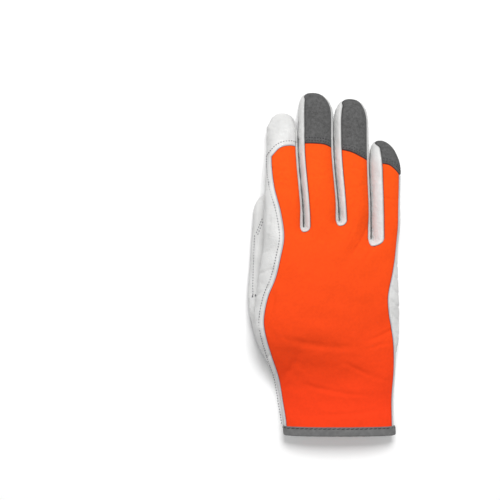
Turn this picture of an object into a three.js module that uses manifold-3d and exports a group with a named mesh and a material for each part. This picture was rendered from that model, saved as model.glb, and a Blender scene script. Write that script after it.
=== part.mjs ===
// A gardening glove for the right hand, palm down on a table, with its thumb tucked under the palm.
// Millimetres, +Z up, fingers along +Y, thumb side towards -X.
import * as THREE from "three";
import { mergeVertices } from "three/addons/utils/BufferGeometryUtils.js";
import Module from "manifold-3d";

const wasm = await Module();
wasm.setup();

// Lengths along the hand. The knuckle line is Y = 0 while the pieces are made.
const HAND_LENGTH = 150;
const INDEX_LENGTH = 85;
const MIDDLE_LENGTH = 100;
const RING_LENGTH = 95.5;
const LITTLE_LENGTH = 65;
const THUMB_REACH = 27;
const THUMB_SPAN = 134;

// Widths of the fingers at the knuckle line and near their tips.
const INDEX_ROOT = 29;
const MIDDLE_ROOT = 26;
const RING_ROOT = 23.5;
const LITTLE_ROOT = 21;
const INDEX_TIP = 22.4;
const MIDDLE_TIP = 26;
const RING_TIP = 25.8;
const LITTLE_TIP = 23.6;
const INDEX_TAPER = 3;
const THUMB_WIDTH = 28;

// Thicknesses, walls and gaps.
const PALM_THICKNESS = 25;
const THUMB_THICKNESS = 12.4;
const THUMB_CLEARANCE = 0.8;
const WALL = 1.6;
const SEAM_GAP = 0.3;
const FINGER_GAP = 1;
const FLOOR_PRESS = 0.9;
const FINGER_THINNING = 0.2;

// Slots of side leather between the fingers, and how far each crotch lies above the knuckle line.
const INDEX_CROTCH = 1.5;
const MIDDLE_CROTCH = 6.2;
const RING_CROTCH = -6.8;
const SLOT_LEFT = 1.6;
const INDEX_SLOT = 4.3;
const MIDDLE_SLOT = 5;
const RING_SLOT = 8.6;
const SLOT_END = 2.4;
const SLOT_TOP = 9;

// Heights of the seams as shares of the thickness there.
const BACK_SEAM = 0.5;
const CAP_SEAM = 0.45;
const SLOT_SEAM = 0.22;

// The binding round the cuff.
const BINDING_HEIGHT = 6.8;
const BINDING_THICKNESS = 1.1;
const BINDING_FOLD = 1.4;
const BINDING_RISE = 3;

// Roundness of the sections of fingers and thumb, and how finely sections are divided.
const ROUNDNESS = 2.4;
const ROOT_ROUNDNESS = 3.4;
const ROOT_TAPER = 0.8;
const HAND_SIDES = 30;
const FINGER_SIDES = 16;
const CUT_HEIGHT = 90;
const CRUMB = 0.02;

// Outline and thickness of the hand: along as a share of HAND_LENGTH from the cuff,
// left and right as shares of half the knuckle width, thick as a share of
// PALM_THICKNESS, and round as the exponent of the section's rounded oblong.
const HAND_ROWS = [
  { along: 0.0, left: -0.684, right: 0.924, thick: 0.68, round: 2.2 },
  { along: 0.053, left: -0.692, right: 0.914, thick: 0.68, round: 2.2 },
  { along: 0.16, left: -0.743, right: 0.912, thick: 0.72, round: 2.2 },
  { along: 0.233, left: -0.773, right: 0.924, thick: 0.78, round: 2.25 },
  { along: 0.293, left: -0.841, right: 0.934, thick: 0.84, round: 2.3 },
  { along: 0.353, left: -0.934, right: 0.944, thick: 0.88, round: 2.35 },
  { along: 0.407, left: -1.018, right: 0.96, thick: 0.9, round: 2.4 },
  { along: 0.473, left: -1.094, right: 0.982, thick: 0.93, round: 2.45 },
  { along: 0.567, left: -1.135, right: 0.992, thick: 0.97, round: 2.5 },
  { along: 0.647, left: -1.115, right: 0.988, thick: 1.0, round: 2.6 },
  { along: 0.767, left: -1.064, right: 0.972, thick: 1.0, round: 2.8 },
  { along: 0.86, left: -1.024, right: 0.964, thick: 0.965, round: 3.2 },
  { along: 0.93, left: -1.0, right: 0.975, thick: 0.92, round: 3.4 },
  { along: 1.0, left: -1.0, right: 1.0, thick: 0.885, round: 3.4 },
];
const HAND_END = 0.93;

// Soft dents and folds of the back: the place in shares of half the knuckle width and
// of HAND_LENGTH from the cuff, the turn from the X axis in degrees, half lengths
// along and across as shares of half the knuckle width, and the depth as a share of
// PALM_THICKNESS. A depth below zero is a swell.
const FOLDS = [
  { x: 0.42, along: 0.965, turn: 58, long: 0.402, wide: 0.121, depth: 0.06 },
  { x: 0.2, along: 0.93, turn: 62, long: 0.322, wide: 0.121, depth: -0.048 },
  { x: 0.78, along: 0.52, turn: 25, long: 0.322, wide: 0.181, depth: 0.064 },
  { x: -0.55, along: 0.36, turn: 55, long: 0.523, wide: 0.201, depth: 0.064 },
  { x: 0.1, along: 0.3, turn: -8, long: 0.683, wide: 0.241, depth: 0.052 },
  { x: -0.7, along: 1.2, turn: -8, long: 0.322, wide: 0.141, depth: 0.048 },
];

// The fingers from the index to the little one: crotch on each side, and how far the
// top of the tip leans, as a share of half the width.
const FINGERS = [
  { name: "index", length: INDEX_LENGTH, root: INDEX_ROOT, tip: INDEX_TIP, lean: 0, dome: 0.2 },
  { name: "middle", length: MIDDLE_LENGTH, root: MIDDLE_ROOT, tip: MIDDLE_TIP, lean: -0.2, dome: 0.17 },
  { name: "ring", length: RING_LENGTH, root: RING_ROOT, tip: RING_TIP, lean: -0.06, dome: 0.2 },
  { name: "little", length: LITTLE_LENGTH, root: LITTLE_ROOT, tip: LITTLE_TIP, lean: -0.36, dome: 0.38 },
];
const SLOTS = [
  { name: "index_middle_fourchette", crotch: INDEX_CROTCH, right: INDEX_SLOT },
  { name: "middle_ring_fourchette", crotch: MIDDLE_CROTCH, right: MIDDLE_SLOT },
  { name: "ring_little_fourchette", crotch: RING_CROTCH, right: RING_SLOT },
];

// Where the back cloth ends on each finger, as shares of the finger's length at four
// places across it from the thumb side.
const CAP_ROWS = [
  { finger: 0, across: [0.1, 0.4, 0.75, 1.0], along: [0.61, 0.69, 0.712, 0.7] },
  { finger: 1, across: [0.0, 0.45, 0.75, 1.0], along: [0.622, 0.62, 0.612, 0.585] },
  { finger: 2, across: [0.0, 0.45, 0.75, 1.0], along: [0.612, 0.585, 0.548, 0.515] },
  { finger: 3, across: [0.0, 0.55, 0.8, 1.3], along: [0.735, 0.72, 0.66, 0.55] },
];

// Edges of the back cloth: along as a share of HAND_LENGTH from the cuff, edge as a
// share of half the knuckle width.
const BACK_LEFT = [
  { along: -0.1, edge: -0.66 },
  { along: 0.051, edge: -0.665 },
  { along: 0.162, edge: -0.715 },
  { along: 0.283, edge: -0.779 },
  { along: 0.389, edge: -0.881 },
  { along: 0.491, edge: -0.97 },
  { along: 0.567, edge: -0.998 },
  { along: 0.674, edge: -0.94 },
  { along: 0.766, edge: -0.83 },
  { along: 0.862, edge: -0.76 },
  { along: 0.961, edge: -0.707 },
  { along: 1.075, edge: -0.751 },
  { along: 1.195, edge: -0.845 },
  { along: 1.3, edge: -0.885 },
];
const BACK_RIGHT = [
  { along: 1.22, edge: 0.985 },
  { along: 1.08, edge: 0.97 },
  { along: 0.993, edge: 0.96 },
  { along: 0.872, edge: 0.925 },
  { along: 0.785, edge: 0.88 },
  { along: 0.676, edge: 0.815 },
  { along: 0.592, edge: 0.829 },
  { along: 0.531, edge: 0.865 },
  { along: 0.437, edge: 0.905 },
  { along: 0.317, edge: 0.915 },
  { along: 0.191, edge: 0.89 },
  { along: 0.051, edge: 0.89 },
  { along: -0.1, edge: 0.89 },
];

// The thumb from its root in the heel of the hand to its tip: along as a share of
// THUMB_SPAN, centre as a share of half the knuckle width, half as a share of half of
// THUMB_WIDTH, top as a share of THUMB_THICKNESS.
const THUMB_ROWS = [
  { along: 0.0, centre: -0.63, half: 0.62, top: 0.6 },
  { along: 0.09, centre: -0.68, half: 1.0, top: 1.25 },
  { along: 0.2, centre: -0.74, half: 1.28, top: 1.7 },
  { along: 0.31, centre: -0.78, half: 1.41, top: 1.75 },
  { along: 0.4, centre: -0.83, half: 1.36, top: 1.5 },
  { along: 0.47, centre: -0.87, half: 1.22, top: 1.2 },
  { along: 0.54, centre: -0.89, half: 1.1, top: 1.03 },
  { along: 0.64, centre: -0.895, half: 1.02, top: 1.0 },
  { along: 0.76, centre: -0.885, half: 0.985, top: 0.98 },
  { along: 0.88, centre: -0.88, half: 0.93, top: 0.95 },
];
const THUMB_DOME = 0.12;
const THUMB_LEAN = 0.12;

// The ribbed panel on the back of the thumb: along as a share of THUMB_SPAN, left and
// right as shares of half of THUMB_WIDTH from its middle line, top as a share of
// THUMB_THICKNESS.
const RIB_ROWS = [
  { along: 0.02, left: -1.2, right: 0.5, top: 0.6 },
  { along: 0.25, left: -2.2, right: 0.75, top: 0.62 },
  { along: 0.5, left: -2.0, right: 0.72, top: 0.42 },
  { along: 0.7, left: -2.0, right: 0.66, top: 0.36 },
  { along: 0.84, left: -2.0, right: 0.55, top: 0.34 },
];

// How far the hand is raised by the thumb under it: where the rise starts, is full,
// ends being full and is gone, along Y as shares of THUMB_SPAN from the thumb's root,
// and across X as shares of half the knuckle width.
const LIFT_ALONG = { start: -0.07, full: 0.28, hold: 0.97, end: 1.38 };
const LIFT_ACROSS = { hold: -0.56, end: 0.8 };

const KNUCKLE_HALF = (INDEX_ROOT + MIDDLE_ROOT + RING_ROOT + LITTLE_ROOT) / 2;
const THUMB_ROOT_Y = THUMB_REACH - THUMB_SPAN;
const PAST_CUFF = -1.2 * HAND_LENGTH;
const DOME_STEPS = [0, 0.4, 0.68, 0.87, 0.985];

const smooth = (t) => {
  const u = THREE.MathUtils.clamp(t, 0, 1);
  return u * u * (3 - 2 * u);
};

// The value of a column at a place along a table, on a smooth curve through its rows.
function column(rows, name, along) {
  const last = rows.length - 1;
  if (along <= rows[0].along) return rows[0][name];
  if (along >= rows[last].along) return rows[last][name];
  const i = rows.findIndex((row) => row.along > along) - 1;
  const slope = (j) => {
    const a = rows[Math.max(j - 1, 0)];
    const b = rows[Math.min(j + 1, last)];
    return (b[name] - a[name]) / (b.along - a.along);
  };
  const span = rows[i + 1].along - rows[i].along;
  const t = (along - rows[i].along) / span;
  const t2 = t * t;
  const t3 = t2 * t;
  return (
    (2 * t3 - 3 * t2 + 1) * rows[i][name] +
    (t3 - 2 * t2 + t) * span * slope(i) +
    (3 * t2 - 2 * t3) * rows[i + 1][name] +
    (t3 - t2) * span * slope(i + 1)
  );
}

// How far the glove is raised above the table by the thumb, and by the binding at the cuff.
function lift(x, y) {
  const cuff = 1 - smooth((y + HAND_LENGTH) / BINDING_HEIGHT / BINDING_RISE - 1 / BINDING_RISE);
  const s = (y - THUMB_ROOT_Y) / THUMB_SPAN;
  const rise = smooth((s - LIFT_ALONG.start) / (LIFT_ALONG.full - LIFT_ALONG.start));
  const fall = smooth((s - LIFT_ALONG.hold) / (LIFT_ALONG.end - LIFT_ALONG.hold));
  const across = (x / KNUCKLE_HALF - LIFT_ACROSS.hold) / (LIFT_ACROSS.end - LIFT_ACROSS.hold);
  const thumb = (THUMB_THICKNESS + THUMB_CLEARANCE) * rise * (1 - fall) * (1 - smooth(across));
  return thumb + (BINDING_THICKNESS + FLOOR_PRESS) * cuff;
}

// Thickness of the hand and, past the knuckles, of the fingers.
function thickness(y) {
  const palm = column(HAND_ROWS, "thick", 1 + y / HAND_LENGTH);
  return PALM_THICKNESS * (palm - FINGER_THINNING * smooth((0.9 * y) / MIDDLE_LENGTH));
}

// How far the back is dented at a place.
function dent(x, y) {
  return FOLDS.reduce((sum, fold) => {
    const turn = THREE.MathUtils.degToRad(fold.turn);
    const dx = x - fold.x * KNUCKLE_HALF;
    const dy = y - (fold.along - 1) * HAND_LENGTH;
    const u = (dx * Math.cos(turn) + dy * Math.sin(turn)) / fold.long / KNUCKLE_HALF;
    const v = (dy * Math.cos(turn) - dx * Math.sin(turn)) / fold.wide / KNUCKLE_HALF;
    return sum + PALM_THICKNESS * fold.depth * Math.exp(-u * u - v * v);
  }, 0);
}

// A ring of points: a rounded oblong from left to right and from below up, raised by
// the thumb and pressed flat on the table, with the wall's growth all round.
function ring({ y, left, right, low, high, grow = 0, sides, round = ROUNDNESS, lifted = true }) {
  const points = [];
  const cx = (left + right) / 2;
  const cz = (low + high) / 2;
  const a = Math.max((right - left) / 2 + grow, 0.2);
  const b = Math.max((high - low) / 2 + grow, 0.2);
  for (let i = 0; i < sides; i++) {
    const t = (2 * Math.PI * (i + 0.5)) / sides;
    const c = Math.cos(t);
    const s = Math.sin(t);
    const x = cx + a * Math.sign(c) * Math.abs(c) ** (2 / round);
    const z = cz + b * Math.sign(s) * Math.abs(s) ** (2 / round);
    const share = smooth((z - cz) / (high - cz));
    const raised = z + (lifted ? lift(x, y) - dent(x, y) * share : 0);
    points.push([x, y, Math.max(raised, -grow)]);
  }
  return points;
}

// A closed solid from vertices and triangles, with shared vertices merged.
function solid(positions, indices) {
  const raw = new THREE.BufferGeometry();
  raw.setAttribute("position", new THREE.Float32BufferAttribute(positions, 3));
  if (indices) raw.setIndex(indices);
  const merged = mergeVertices(raw, 1e-4);
  const vertProperties = merged.attributes.position.array;
  const triVerts = new Uint32Array(merged.index.array);
  const made = new wasm.Manifold(new wasm.Mesh({ numProp: 3, vertProperties, triVerts }));
  if (made.volume() > 0) return made;
  for (let i = 0; i < triVerts.length; i += 3) {
    [triVerts[i + 1], triVerts[i + 2]] = [triVerts[i + 2], triVerts[i + 1]];
  }
  return new wasm.Manifold(new wasm.Mesh({ numProp: 3, vertProperties, triVerts }));
}

// A solid skinned over rings of equal length, with a flat fan over each end.
function loft(rings) {
  const sides = rings[0].length;
  const points = rings.flat();
  const indices = [];
  rings.slice(1).forEach((_, j) => {
    for (let i = 0; i < sides; i++) {
      const a = j * sides + i;
      const b = j * sides + ((i + 1) % sides);
      indices.push(a, b, a + sides, b, b + sides, a + sides);
    }
  });
  const fan = (first, turned) => {
    const middle = [0, 1, 2].map((k) => {
      const sum = points.slice(first, first + sides).reduce((total, p) => total + p[k], 0);
      return sum / sides;
    });
    const apex = points.push(middle) - 1;
    for (let i = 0; i < sides; i++) {
      const a = first + i;
      const b = first + ((i + 1) % sides);
      indices.push(...(turned ? [b, a, apex] : [a, b, apex]));
    }
  };
  const lastRing = (rings.length - 1) * sides;
  fan(0, true);
  fan(lastRing, false);
  return solid(points.flat(), indices);
}

// A section of the hand at a place along it, grown outwards by the given amount.
function handRing(along, grow) {
  return ring({
    y: (along - 1) * HAND_LENGTH,
    left: KNUCKLE_HALF * column(HAND_ROWS, "left", along),
    right: KNUCKLE_HALF * column(HAND_ROWS, "right", along),
    low: -FLOOR_PRESS,
    high: PALM_THICKNESS * column(HAND_ROWS, "thick", along),
    round: column(HAND_ROWS, "round", along),
    grow,
    sides: HAND_SIDES,
  });
}

// The body of the hand, grown outwards by the given amount, from a place below the
// cuff or inside the binding up to the knuckles.
function handSolid(grow, startY) {
  const start = 1 + startY / HAND_LENGTH;
  const inside = HAND_ROWS.filter(({ along }) => along > start + 0.01 && along <= HAND_END);
  return loft([{ along: start }, ...inside].map(({ along }) => handRing(along, grow)));
}

// The middle of the slit on the thumb side of a finger, for fingers 0 to 4.
function slitX(k, y) {
  const t = smooth((y / MIDDLE_LENGTH) * 1.6);
  const rootX = -KNUCKLE_HALF + FINGERS.slice(0, k).reduce((sum, f) => sum + f.root, 0);
  const tipStart = -KNUCKLE_HALF + INDEX_TAPER;
  const tipX = tipStart + FINGERS.slice(0, k).reduce((sum, f) => sum + f.tip, 0);
  return rootX + (tipX - rootX) * t;
}

// An edge of a finger: at the slit past the crotch, and across it below, so that
// neighbouring fingers grow together there.
function fingerEdge(k, side, y) {
  const slit = k + (side > 0 ? 1 : 0);
  const x = slitX(slit, y);
  if (slit === 0 || slit === FINGERS.length) {
    const edge = KNUCKLE_HALF * column(HAND_ROWS, side < 0 ? "left" : "right", 1 + y / HAND_LENGTH);
    return y < 0 ? edge : x;
  }
  const crotch = SLOTS[slit - 1].crotch;
  const past = y >= crotch;
  const merge = past ? -FINGER_GAP / 2 : Math.min((crotch - y) * 1.6, 5) - FINGER_GAP / 2;
  return x + side * merge;
}

// One finger, grown outwards by the given amount, with a rounded tip.
function fingerSolid(k, grow) {
  const { length, lean, dome } = FINGERS[k];
  const domeY = length * (1 - dome);
  const inward = Math.max(-grow, 0);
  const crotches = [SLOTS[k - 1], SLOTS[k]].filter(Boolean).map((slot) => slot.crotch - inward);
  const rootY = (HAND_END - 1) * HAND_LENGTH - PALM_THICKNESS;
  const places = [rootY, rootY + PALM_THICKNESS / 2];
  crotches.forEach((y) => places.push(y - 4, y - 1.2, y));
  const firstFree = Math.max(...crotches);
  const freeSteps = 4;
  for (let i = 1; i < freeSteps; i++) places.push(firstFree + ((domeY - firstFree) * i) / freeSteps);
  places.sort((a, b) => a - b);
  const body = places.filter((y, i) => i === 0 || y - places[i - 1] > 0.5);
  const section = (y, round, shift) => {
    const edgeY = Math.min(y, domeY) + (y < firstFree + 1 ? inward : 0);
    const left = fingerEdge(k, -1, edgeY);
    const right = fingerEdge(k, 1, edgeY);
    const half = (right - left) / 2;
    const middle = (left + right) / 2 + shift * half;
    const sunk = 0.86 + 0.12 * smooth((y - rootY) / PALM_THICKNESS);
    const high = thickness(y) * sunk;
    const tall = (high + FLOOR_PRESS) / 2;
    const sag = high - tall - tall * (1 - round) * 0.25;
    const root = ROOT_ROUNDNESS - ROUNDNESS;
    return ring({
      y,
      left: middle - half * round,
      right: middle + half * round,
      low: sag - tall * round,
      high: sag + tall * round,
      round: ROUNDNESS + root * (1 - smooth((y / length) * 2.5)),
      grow,
      sides: FINGER_SIDES,
    });
  };
  const rings = body.map((y, i) => section(y, i === 0 ? ROOT_TAPER : 1, 0));
  DOME_STEPS.forEach((u) => {
    const round = (1 - u ** 2.3) ** (1 / 2.3);
    rings.push(section(domeY + (length + grow - domeY) * u, round, lean * u * u));
  });
  return loft(rings);
}

// The thumb under the palm, grown outwards by the given amount.
function thumbSolid(grow) {
  const section = (along, round, shift, y) => {
    const half = (THUMB_WIDTH / 2) * column(THUMB_ROWS, "half", along);
    const middle = KNUCKLE_HALF * column(THUMB_ROWS, "centre", along) + shift * half;
    const high = THUMB_THICKNESS * column(THUMB_ROWS, "top", along);
    const tall = (high + FLOOR_PRESS) / 2;
    const centre = high - tall - (1 - round) * tall * 0.3;
    return ring({
      y,
      left: middle - half * round,
      right: middle + half * round,
      low: centre - tall * round,
      high: centre + tall * round,
      grow,
      sides: FINGER_SIDES,
      lifted: false,
    });
  };
  const placeY = (along) => THUMB_ROOT_Y + along * THUMB_SPAN;
  const rings = THUMB_ROWS.map(({ along }) => section(along, 1, 0, placeY(along)));
  const domeStart = placeY(1 - THUMB_DOME);
  DOME_STEPS.slice(1).forEach((u) => {
    const round = (1 - u ** 2.3) ** (1 / 2.3);
    const y = domeStart + (THUMB_REACH + grow - domeStart) * u;
    rings.push(section(1 - THUMB_DOME, round, THUMB_LEAN * u * u, y));
  });
  return loft(rings);
}

// A flat outline in X and Y carried straight up from below the table.
function prism(points, low = -CUT_HEIGHT) {
  const shape = new THREE.Shape(points.map(([x, y]) => new THREE.Vector2(x, y)));
  const raw = new THREE.ExtrudeGeometry(shape, { depth: 2 * CUT_HEIGHT, bevelEnabled: false });
  raw.translate(0, 0, low);
  raw.deleteAttribute("normal");
  raw.deleteAttribute("uv");
  return solid(raw.attributes.position.array);
}

// An outline moved outwards by a distance, corner by corner.
function grown(points, distance) {
  const turn = THREE.ShapeUtils.area(points.map(([x, y]) => ({ x, y }))) > 0 ? 1 : -1;
  return points.map((point, i) => {
    const before = points[(i + points.length - 1) % points.length];
    const after = points[(i + 1) % points.length];
    const a = new THREE.Vector2(point[0] - before[0], point[1] - before[1]).normalize();
    const b = new THREE.Vector2(after[0] - point[0], after[1] - point[1]).normalize();
    const normal = new THREE.Vector2(a.y + b.y, -a.x - b.x).normalize();
    const stretch = Math.max(Math.sqrt((1 + a.dot(b)) / 2), 0.5);
    const reach = (turn * distance) / stretch;
    return [point[0] + normal.x * reach, point[1] + normal.y * reach];
  });
}

// Everything below a seam that runs round the glove at a share of its thickness.
function below(share, raise) {
  const columns = 12;
  const rows = 14;
  const halfX = 1.6 * KNUCKLE_HALF;
  const startY = -1.2 * HAND_LENGTH;
  const endY = 1.2 * MIDDLE_LENGTH;
  const rings = [];
  for (let j = 0; j <= rows; j++) {
    const y = startY + ((endY - startY) * j) / rows;
    const line = [[-halfX, y, -CUT_HEIGHT]];
    for (let i = 0; i <= columns; i++) {
      const x = -halfX + (2 * halfX * i) / columns;
      line.push([x, y, lift(x, y) + share * thickness(y) + raise]);
    }
    line.push([halfX, y, -CUT_HEIGHT]);
    rings.push(line);
  }
  return loft(rings);
}

// Cuts one piece out of a shell: the part inside a region goes to the piece, and the
// rest keeps the seam gap to it.
function cutOut(rest, outline, share) {
  const piece = rest.intersect(prism(outline)).subtract(below(share, 0));
  const left = rest.subtract(prism(grown(outline, SEAM_GAP)).subtract(below(share, -SEAM_GAP)));
  return [piece, left];
}

// The slot of side leather between two fingers, seen from above.
function slotOutline(k) {
  const { crotch, right } = SLOTS[k];
  const leftTop = FINGERS[k].length - SLOT_TOP;
  const rightTop = FINGERS[k + 1].length - SLOT_TOP;
  const x = (y) => slitX(k + 1, y);
  const end = crotch - SLOT_END;
  const steps = 5;
  const up = [];
  const down = [];
  for (let i = 0; i <= steps; i++) {
    const t = i / steps;
    const leftY = crotch + (leftTop - crotch) * t;
    const rightY = crotch + (rightTop - crotch) * t;
    up.push([x(leftY) - SLOT_LEFT, leftY]);
    const widen = smooth((rightY - crotch) / 14);
    down.unshift([x(rightY) + SLOT_LEFT + (right - SLOT_LEFT) * widen, rightY]);
  }
  const tips = [[x(leftTop), leftTop + 5], [x(rightTop) + 0.01, rightTop + 5]];
  const foot = [[x(end) + SLOT_LEFT * 0.6, end], [x(end) - SLOT_LEFT * 0.6, end]];
  return [...up, ...tips, ...down, ...foot];
}

// The front edge of the back cloth on one finger, from the thumb side across.
function capEdge({ finger, across, along }) {
  const { length } = FINGERS[finger];
  return across.map((share, i) => {
    const y = along[i] * length;
    const left = slitX(finger, y);
    return [left + (slitX(finger + 1, y) - left) * share, y];
  });
}

// The cap over a fingertip, from the front edge of the back cloth to past the tip.
function capOutline(row) {
  const edge = capEdge(row);
  const { length } = FINGERS[row.finger];
  const beyond = 6;
  const [startX] = edge[0];
  const [endX] = edge[edge.length - 1];
  return [...edge, [endX, length + beyond], [startX, length + beyond]];
}

// The outline of the back cloth, with its front edge across all four fingers.
function backOutline() {
  const side = (rows) => {
    const curve = new THREE.SplineCurve(
      rows.map((row) => new THREE.Vector2(row.edge * KNUCKLE_HALF, (row.along - 1) * HAND_LENGTH)),
    );
    return curve.getPoints(rows.length * 2).map((p) => [p.x, p.y]);
  };
  const front = CAP_ROWS.flatMap(capEdge);
  return [...side(BACK_LEFT), ...front.slice(0, -1), ...side(BACK_RIGHT)];
}

// The cuff binding: a folded tape with a channel that holds the edge of the cuff.
function bindingSolid() {
  const place = (y) => 1 + y / HAND_LENGTH;
  const end = place(BINDING_HEIGHT - HAND_LENGTH);
  const outside = loft([0, end].map((along) => handRing(along, BINDING_THICKNESS)));
  const tape = outside.subtract(handSolid(-WALL - BINDING_THICKNESS, PAST_CUFF));
  const channel = handSolid(SEAM_GAP, BINDING_FOLD - HAND_LENGTH);
  return tape.subtract(channel.subtract(handSolid(-WALL - SEAM_GAP, PAST_CUFF)));
}

// The box swept along the thumb that takes the ribbed panel out of its lower side.
function ribRegion(extra) {
  const rings = RIB_ROWS.map(({ along, left, right, top }, i) => {
    const atEnd = i === 0 ? -1 : i === RIB_ROWS.length - 1 ? 1 : 0;
    const y = THUMB_ROOT_Y + along * THUMB_SPAN + atEnd * extra;
    const middle = KNUCKLE_HALF * column(THUMB_ROWS, "centre", along);
    const x0 = middle + (left * THUMB_WIDTH) / 2 - extra;
    const x1 = middle + (right * THUMB_WIDTH) / 2 + extra;
    const z1 = THUMB_THICKNESS * top + extra;
    return [[x0, y, -CUT_HEIGHT], [x1, y, -CUT_HEIGHT], [x1, y, z1], [x0, y, z1]];
  });
  return loft(rings);
}

const union = (solids) => solids.reduce((sum, one) => sum.add(one));
const everyFinger = (grow) => FINGERS.map((_, k) => fingerSolid(k, grow));

const cuffEnd = -HAND_LENGTH + BINDING_FOLD + SEAM_GAP;
const outer = union([handSolid(0, cuffEnd), ...everyFinger(0)]);
const inner = union([handSolid(-WALL, PAST_CUFF), ...everyFinger(-WALL), thumbSolid(-WALL)]);
const handShell = outer.subtract(inner);
const spaced = union([handSolid(SEAM_GAP, PAST_CUFF), ...everyFinger(SEAM_GAP)]);
const thumbShell = thumbSolid(0).subtract(inner).subtract(spaced);

// Colours and finishes of the materials.
const FINISHES = {
  leather: { color: 0xdfdfdf, roughness: 0.62 },
  orange: { color: 0xf9471a, roughness: 0.8 },
  suede: { color: 0x666666, roughness: 0.95 },
  rib: { color: 0x262626, roughness: 0.9 },
  tape: { color: 0x7f7f7f, roughness: 0.85 },
};

const glove = new THREE.Group();
glove.name = "gardening_glove";

// Adds the largest body of a piece as a named mesh. Crumbs that a cut leaves beyond
// a seam are not part of any piece.
function addPiece(name, finish, piece) {
  const bodies = piece.simplify(CRUMB).decompose().sort((a, b) => b.volume() - a.volume());
  const { vertProperties, triVerts } = bodies[0].getMesh();
  const geometry = new THREE.BufferGeometry();
  geometry.setAttribute("position", new THREE.BufferAttribute(vertProperties, 3));
  geometry.setIndex(new THREE.BufferAttribute(triVerts, 1));
  geometry.computeVertexNormals();
  const material = new THREE.MeshStandardMaterial({ ...FINISHES[finish], metalness: 0 });
  const mesh = new THREE.Mesh(geometry, material);
  mesh.name = name;
  glove.add(mesh);
}

let rest = handShell;
SLOTS.forEach((slot, k) => {
  const [piece, left] = cutOut(rest, slotOutline(k), SLOT_SEAM);
  addPiece(slot.name, "leather", piece);
  rest = left;
});
CAP_ROWS.slice(1).forEach((row) => {
  const [piece, left] = cutOut(rest, capOutline(row), CAP_SEAM);
  addPiece(FINGERS[row.finger].name + "_tip_cap", "suede", piece);
  rest = left;
});
const [back, palm] = cutOut(rest, backOutline(), BACK_SEAM);
addPiece("back_panel", "orange", back);
addPiece("palm_panel", "leather", palm);
addPiece("thumb_rib_panel", "rib", thumbShell.intersect(ribRegion(0)));
addPiece("thumb_front_panel", "leather", thumbShell.subtract(ribRegion(SEAM_GAP)));
addPiece("cuff_binding", "tape", bindingSolid());

// The origin is the middle of the underside of the whole glove.
const box = new THREE.Box3().setFromObject(glove);
const centre = box.getCenter(new THREE.Vector3());
glove.children.forEach((mesh) => mesh.position.set(-centre.x, -centre.y, -box.min.z));

export default glove;
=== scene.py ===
"""A gardening glove lying palm down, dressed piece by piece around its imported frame."""

import math

import bpy
import numpy as np
from bpy.props import FloatProperty, FloatVectorProperty, PointerProperty
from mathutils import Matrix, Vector


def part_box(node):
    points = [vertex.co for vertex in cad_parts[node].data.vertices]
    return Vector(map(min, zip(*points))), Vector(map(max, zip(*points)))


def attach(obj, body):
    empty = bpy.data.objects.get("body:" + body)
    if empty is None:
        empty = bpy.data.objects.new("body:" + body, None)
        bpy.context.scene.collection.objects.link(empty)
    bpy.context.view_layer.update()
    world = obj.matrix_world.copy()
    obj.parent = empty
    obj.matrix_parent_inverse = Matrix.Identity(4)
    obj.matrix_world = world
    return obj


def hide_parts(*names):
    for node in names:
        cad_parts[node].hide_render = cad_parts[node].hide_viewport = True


bl_info = {
    "name": "Gardening glove",
    "version": (1, 0, 0),
    "blender": (4, 5, 0),
    "location": "3D View > Sidebar > Glove",
    "description": "Builds a leather and cloth work glove around its frame",
    "category": "Add Mesh",
}

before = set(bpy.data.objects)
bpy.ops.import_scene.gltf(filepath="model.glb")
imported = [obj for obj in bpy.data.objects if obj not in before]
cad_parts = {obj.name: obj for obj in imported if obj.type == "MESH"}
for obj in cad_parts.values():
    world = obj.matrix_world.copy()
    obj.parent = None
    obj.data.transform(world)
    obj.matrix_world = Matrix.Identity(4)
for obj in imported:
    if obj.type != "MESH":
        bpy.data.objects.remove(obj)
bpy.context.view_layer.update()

# Sizes of the glove in millimetres, with the knuckle line at Y = 0.
HAND_LENGTH = 150.0
KNUCKLE_HALF = 49.75
PALM_THICKNESS = 25.0
THUMB_THICKNESS = 12.4
THUMB_CLEARANCE = 0.8
THUMB_WIDTH = 28.0
THUMB_REACH = 27.0
THUMB_SPAN = 134.0
THUMB_DOME = 0.12
THUMB_LEAN = 0.12
WALL = 1.4
FINGER_GAP = 1.0
FLOOR_PRESS = 0.9
FINGER_THINNING = 0.2
INDEX_TAPER = 3.0
ROUNDNESS = 2.4
ROOT_ROUNDNESS = 3.4
SLOT_LEFT = 1.6
SLOT_END = 2.4
BINDING_HEIGHT = 6.8
BINDING_THICKNESS = 1.1
BINDING_RISE = 3.0
CUFF_Y = 2.2 - HAND_LENGTH
METRES = 0.001

# Rounding and easing of the hand's section, the slits and the fingertips.
DOME_POWER = 2.3
SLIT_REACH = 12.2
KNUCKLE_EASE = 42.0
KNUCKLE_POWER = 2.6
ROOT_EASE = 14.0
TIP_DROP = 0.25
THUMB_TIP_DROP = 0.3
CAP_GUESS = 0.62

# The slots' side leather on the palm and on the back.
SLOT_UNDER = 2.2
SLOT_UNDER_END = 3.0
SLOT_LEFT_GROWTH = 0.8
STRIP_THICKNESS = 1.0

# The thumb: shares of its length where its panels start and the ribs end, and their pitch.
THUMB_START = 0.03
RIB_END = 0.84
RIB_PITCH = 2.1

# The binding: its lip, how far it sits in and puffs out, and its overlapped end.
BINDING_LIP = 0.9
BINDING_INSET = 0.35
BINDING_PUFF = 0.25
TAB_ANGLES = (-0.62, 0.5)
TAB_UP = (0.3, 0.35, 1.2, 3.4, 5.6, 6.9, 6.95)
TAB_OUT = (-0.2, 0.75, 1.25, 1.35, 1.3, 0.95, -0.2)
TAB_COLUMNS = 26

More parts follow.
